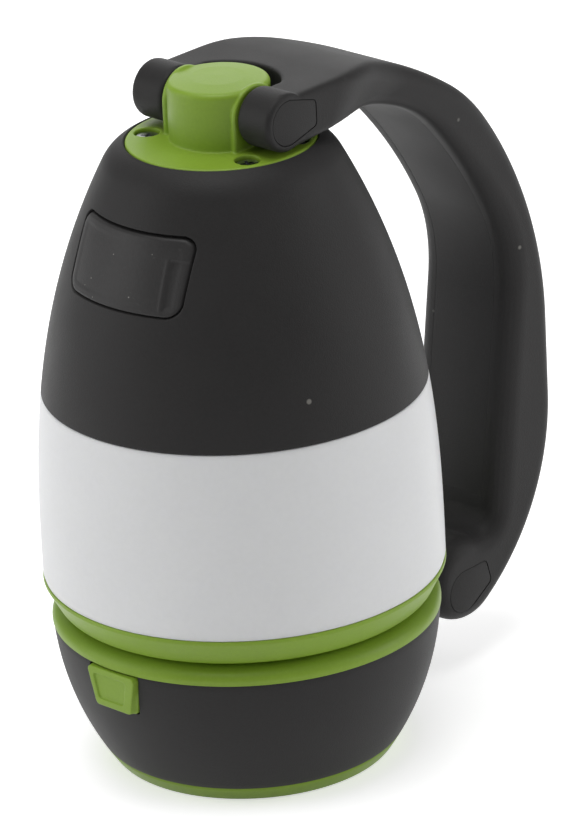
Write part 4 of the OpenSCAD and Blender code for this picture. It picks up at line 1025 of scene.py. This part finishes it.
def plate_piece():
    """The top plate, with its boss and the holes of its screws."""
    plate = lathe("crown_plate", [
        (0, PLATE_BED_Z), (PLATE_R, PLATE_BED_Z), (PLATE_R, 168.35), (24.3, 168.68),
        (13.2, 169.0), (0, 169.05)], None, turns=192)
    boolean(plate, [boss()], "UNION")
    pitch_r, bore_r, bed_z = 19.6, 3.3, PLATE_Z - 2.8
    bores = [rod("bore", "Z", pitch_r * heading(turn - 90), bore_r, bed_z, PLATE_Z + 2, count=48)
             for turn in (63, 117, -63, -117)]
    bores += [rod("pin", "X", TOP_PIVOT, 2.55, lo, hi, count=48) for lo, hi in both_sides(3.5, 20)]
    boolean(plate, bores, "DIFFERENCE")
    moulded(plate, 0.25, 6, GREEN)
    own(plate, "head", "green_plastic", "top_plate")


bezel_piece()
diffuser_piece()
shell_piece()
flap_piece()
knob_piece()
plate_piece()

# ---------------- floor and world
def white_floor():
    """A pale floor that cameras, metal and clear plastic see lifted to white, with its shadow."""
    material = bpy.data.materials.new("studio_white")
    material.use_nodes = True
    tree = material.node_tree
    tree.nodes.clear()
    rays = add(tree, "ShaderNodeLightPath", {}).outputs
    mirrored = calculate(tree, "MAXIMUM", rays["Is Glossy Ray"], rays["Is Transmission Ray"])
    seen = calculate(tree, "MAXIMUM", rays["Is Camera Ray"], mirrored)
    matt = add(tree, "ShaderNodeBsdfDiffuse", {"Color": (0.92, 0.92, 0.92, 1)}).outputs[0]
    lift = add(tree, "ShaderNodeEmission", {"Color": (1, 1, 1, 1), "Strength": 0.55}).outputs[0]
    lifted = add(tree, "ShaderNodeAddShader", {0: matt, 1: lift}).outputs[0]
    either = add(tree, "ShaderNodeMixShader", {0: seen, 1: matt, 2: lifted}).outputs[0]
    add(tree, "ShaderNodeOutputMaterial", {0: either})
    work = bmesh.new()
    bmesh.ops.create_grid(work, x_segments=2, y_segments=2, size=6.0)
    mesh = bpy.data.meshes.new("floor")
    work.to_mesh(mesh)
    work.free()
    mesh.materials.append(material)
    floor = bpy.data.objects.new("floor", mesh)
    floor.location = (0, 0, -0.0003)
    bpy.context.collection.objects.link(floor)


def white_world(level):
    """Even light of a strength from all sides, which the camera sees as white."""
    world = bpy.data.worlds.new("world")
    bpy.context.scene.world = world
    world.use_nodes = True
    tree = world.node_tree
    tree.nodes.clear()
    camera_ray = add(tree, "ShaderNodeLightPath", {}).outputs["Is Camera Ray"]
    lit, seen = [add(tree, "ShaderNodeBackground", {"Color": (1, 1, 1, 1), "Strength": s}).outputs[0]
                 for s in (level, 1.0)]
    both = add(tree, "ShaderNodeMixShader", {0: camera_ray, 1: lit, 2: seen}).outputs[0]
    add(tree, "ShaderNodeOutputWorld", {0: both})


white_floor()
white_world(0.27)

# ---------------- camera and lamps, in metres
# the camera comes from a fit to the photograph; angles in radians, focal length in pixels
AZIMUTH = math.radians(44.5)
PITCH, ROLL, TURN, NOD = 0.3883, 0.0551, 0.0091, -0.0059
DISTANCE, FOCAL, PHOTO_H = 1.5736, 6111.0, 840
SENSOR = 36.0
RIGHT = np.array([math.cos(AZIMUTH), math.sin(AZIMUTH), 0])
AHEAD = np.array([-math.sin(AZIMUTH), math.cos(AZIMUTH), 0])
UPWARD = np.array([0, 0, 1.0])
CENTRE = np.array([0, 0, 0.1])


def turned_pair(first, second, angle):
    """Two square directions, turned in their plane."""
    return (math.cos(angle) * first - math.sin(angle) * second,
            math.sin(angle) * first + math.cos(angle) * second)


def photo_camera():
    """The photo's camera: it looks at the lantern's middle, then turns, nods and rolls."""
    ahead, up = turned_pair(AHEAD, UPWARD, PITCH)
    place = CENTRE - DISTANCE * ahead
    right, ahead = turned_pair(RIGHT, ahead, TURN)
    up, ahead = turned_pair(up, ahead, NOD)
    right, up = turned_pair(right, up, ROLL)
    lens = bpy.data.cameras.new("camera")
    lens.sensor_fit = "VERTICAL"
    lens.sensor_height = SENSOR
    lens.sensor_width = SENSOR
    lens.lens = FOCAL / PHOTO_H * SENSOR
    lens.clip_start = 0.05
    lens.clip_end = 50
    camera = bpy.data.objects.new("camera", lens)
    bpy.context.collection.objects.link(camera)
    rows = [(*row, 0) for row in (right, up, -ahead)] + [(*place, 1)]
    camera.matrix_world = Matrix(rows).transposed()
    bpy.context.scene.camera = camera


def lamp(name, side, before, height, size, power):
    """A round soft lamp, placed from the lantern's middle as the camera sees it."""
    light = bpy.data.lights.new(name, "AREA")
    light.shape = "DISK"
    light.size = size
    light.energy = power
    ob = bpy.data.objects.new(name, light)
    bpy.context.collection.objects.link(ob)
    place = Vector(RIGHT * side - AHEAD * before + UPWARD * height)
    ob.location = Vector(CENTRE) + place
    ob.rotation_euler = (-place).to_track_quat("-Z", "Y").to_euler()


photo_camera()
lamp("key", -0.1, 0.1, 1.2, 1.0, 8.0)
lamp("left", -1.2, 0.1, 0.4, 0.9, 4.0)
lamp("right", 1.2, 0.1, 0.4, 0.9, 4.0)
lamp("rear", 0.0, -1.2, 0.6, 1.2, 4.0)
bpy.context.scene.view_settings.view_transform = "Standard"
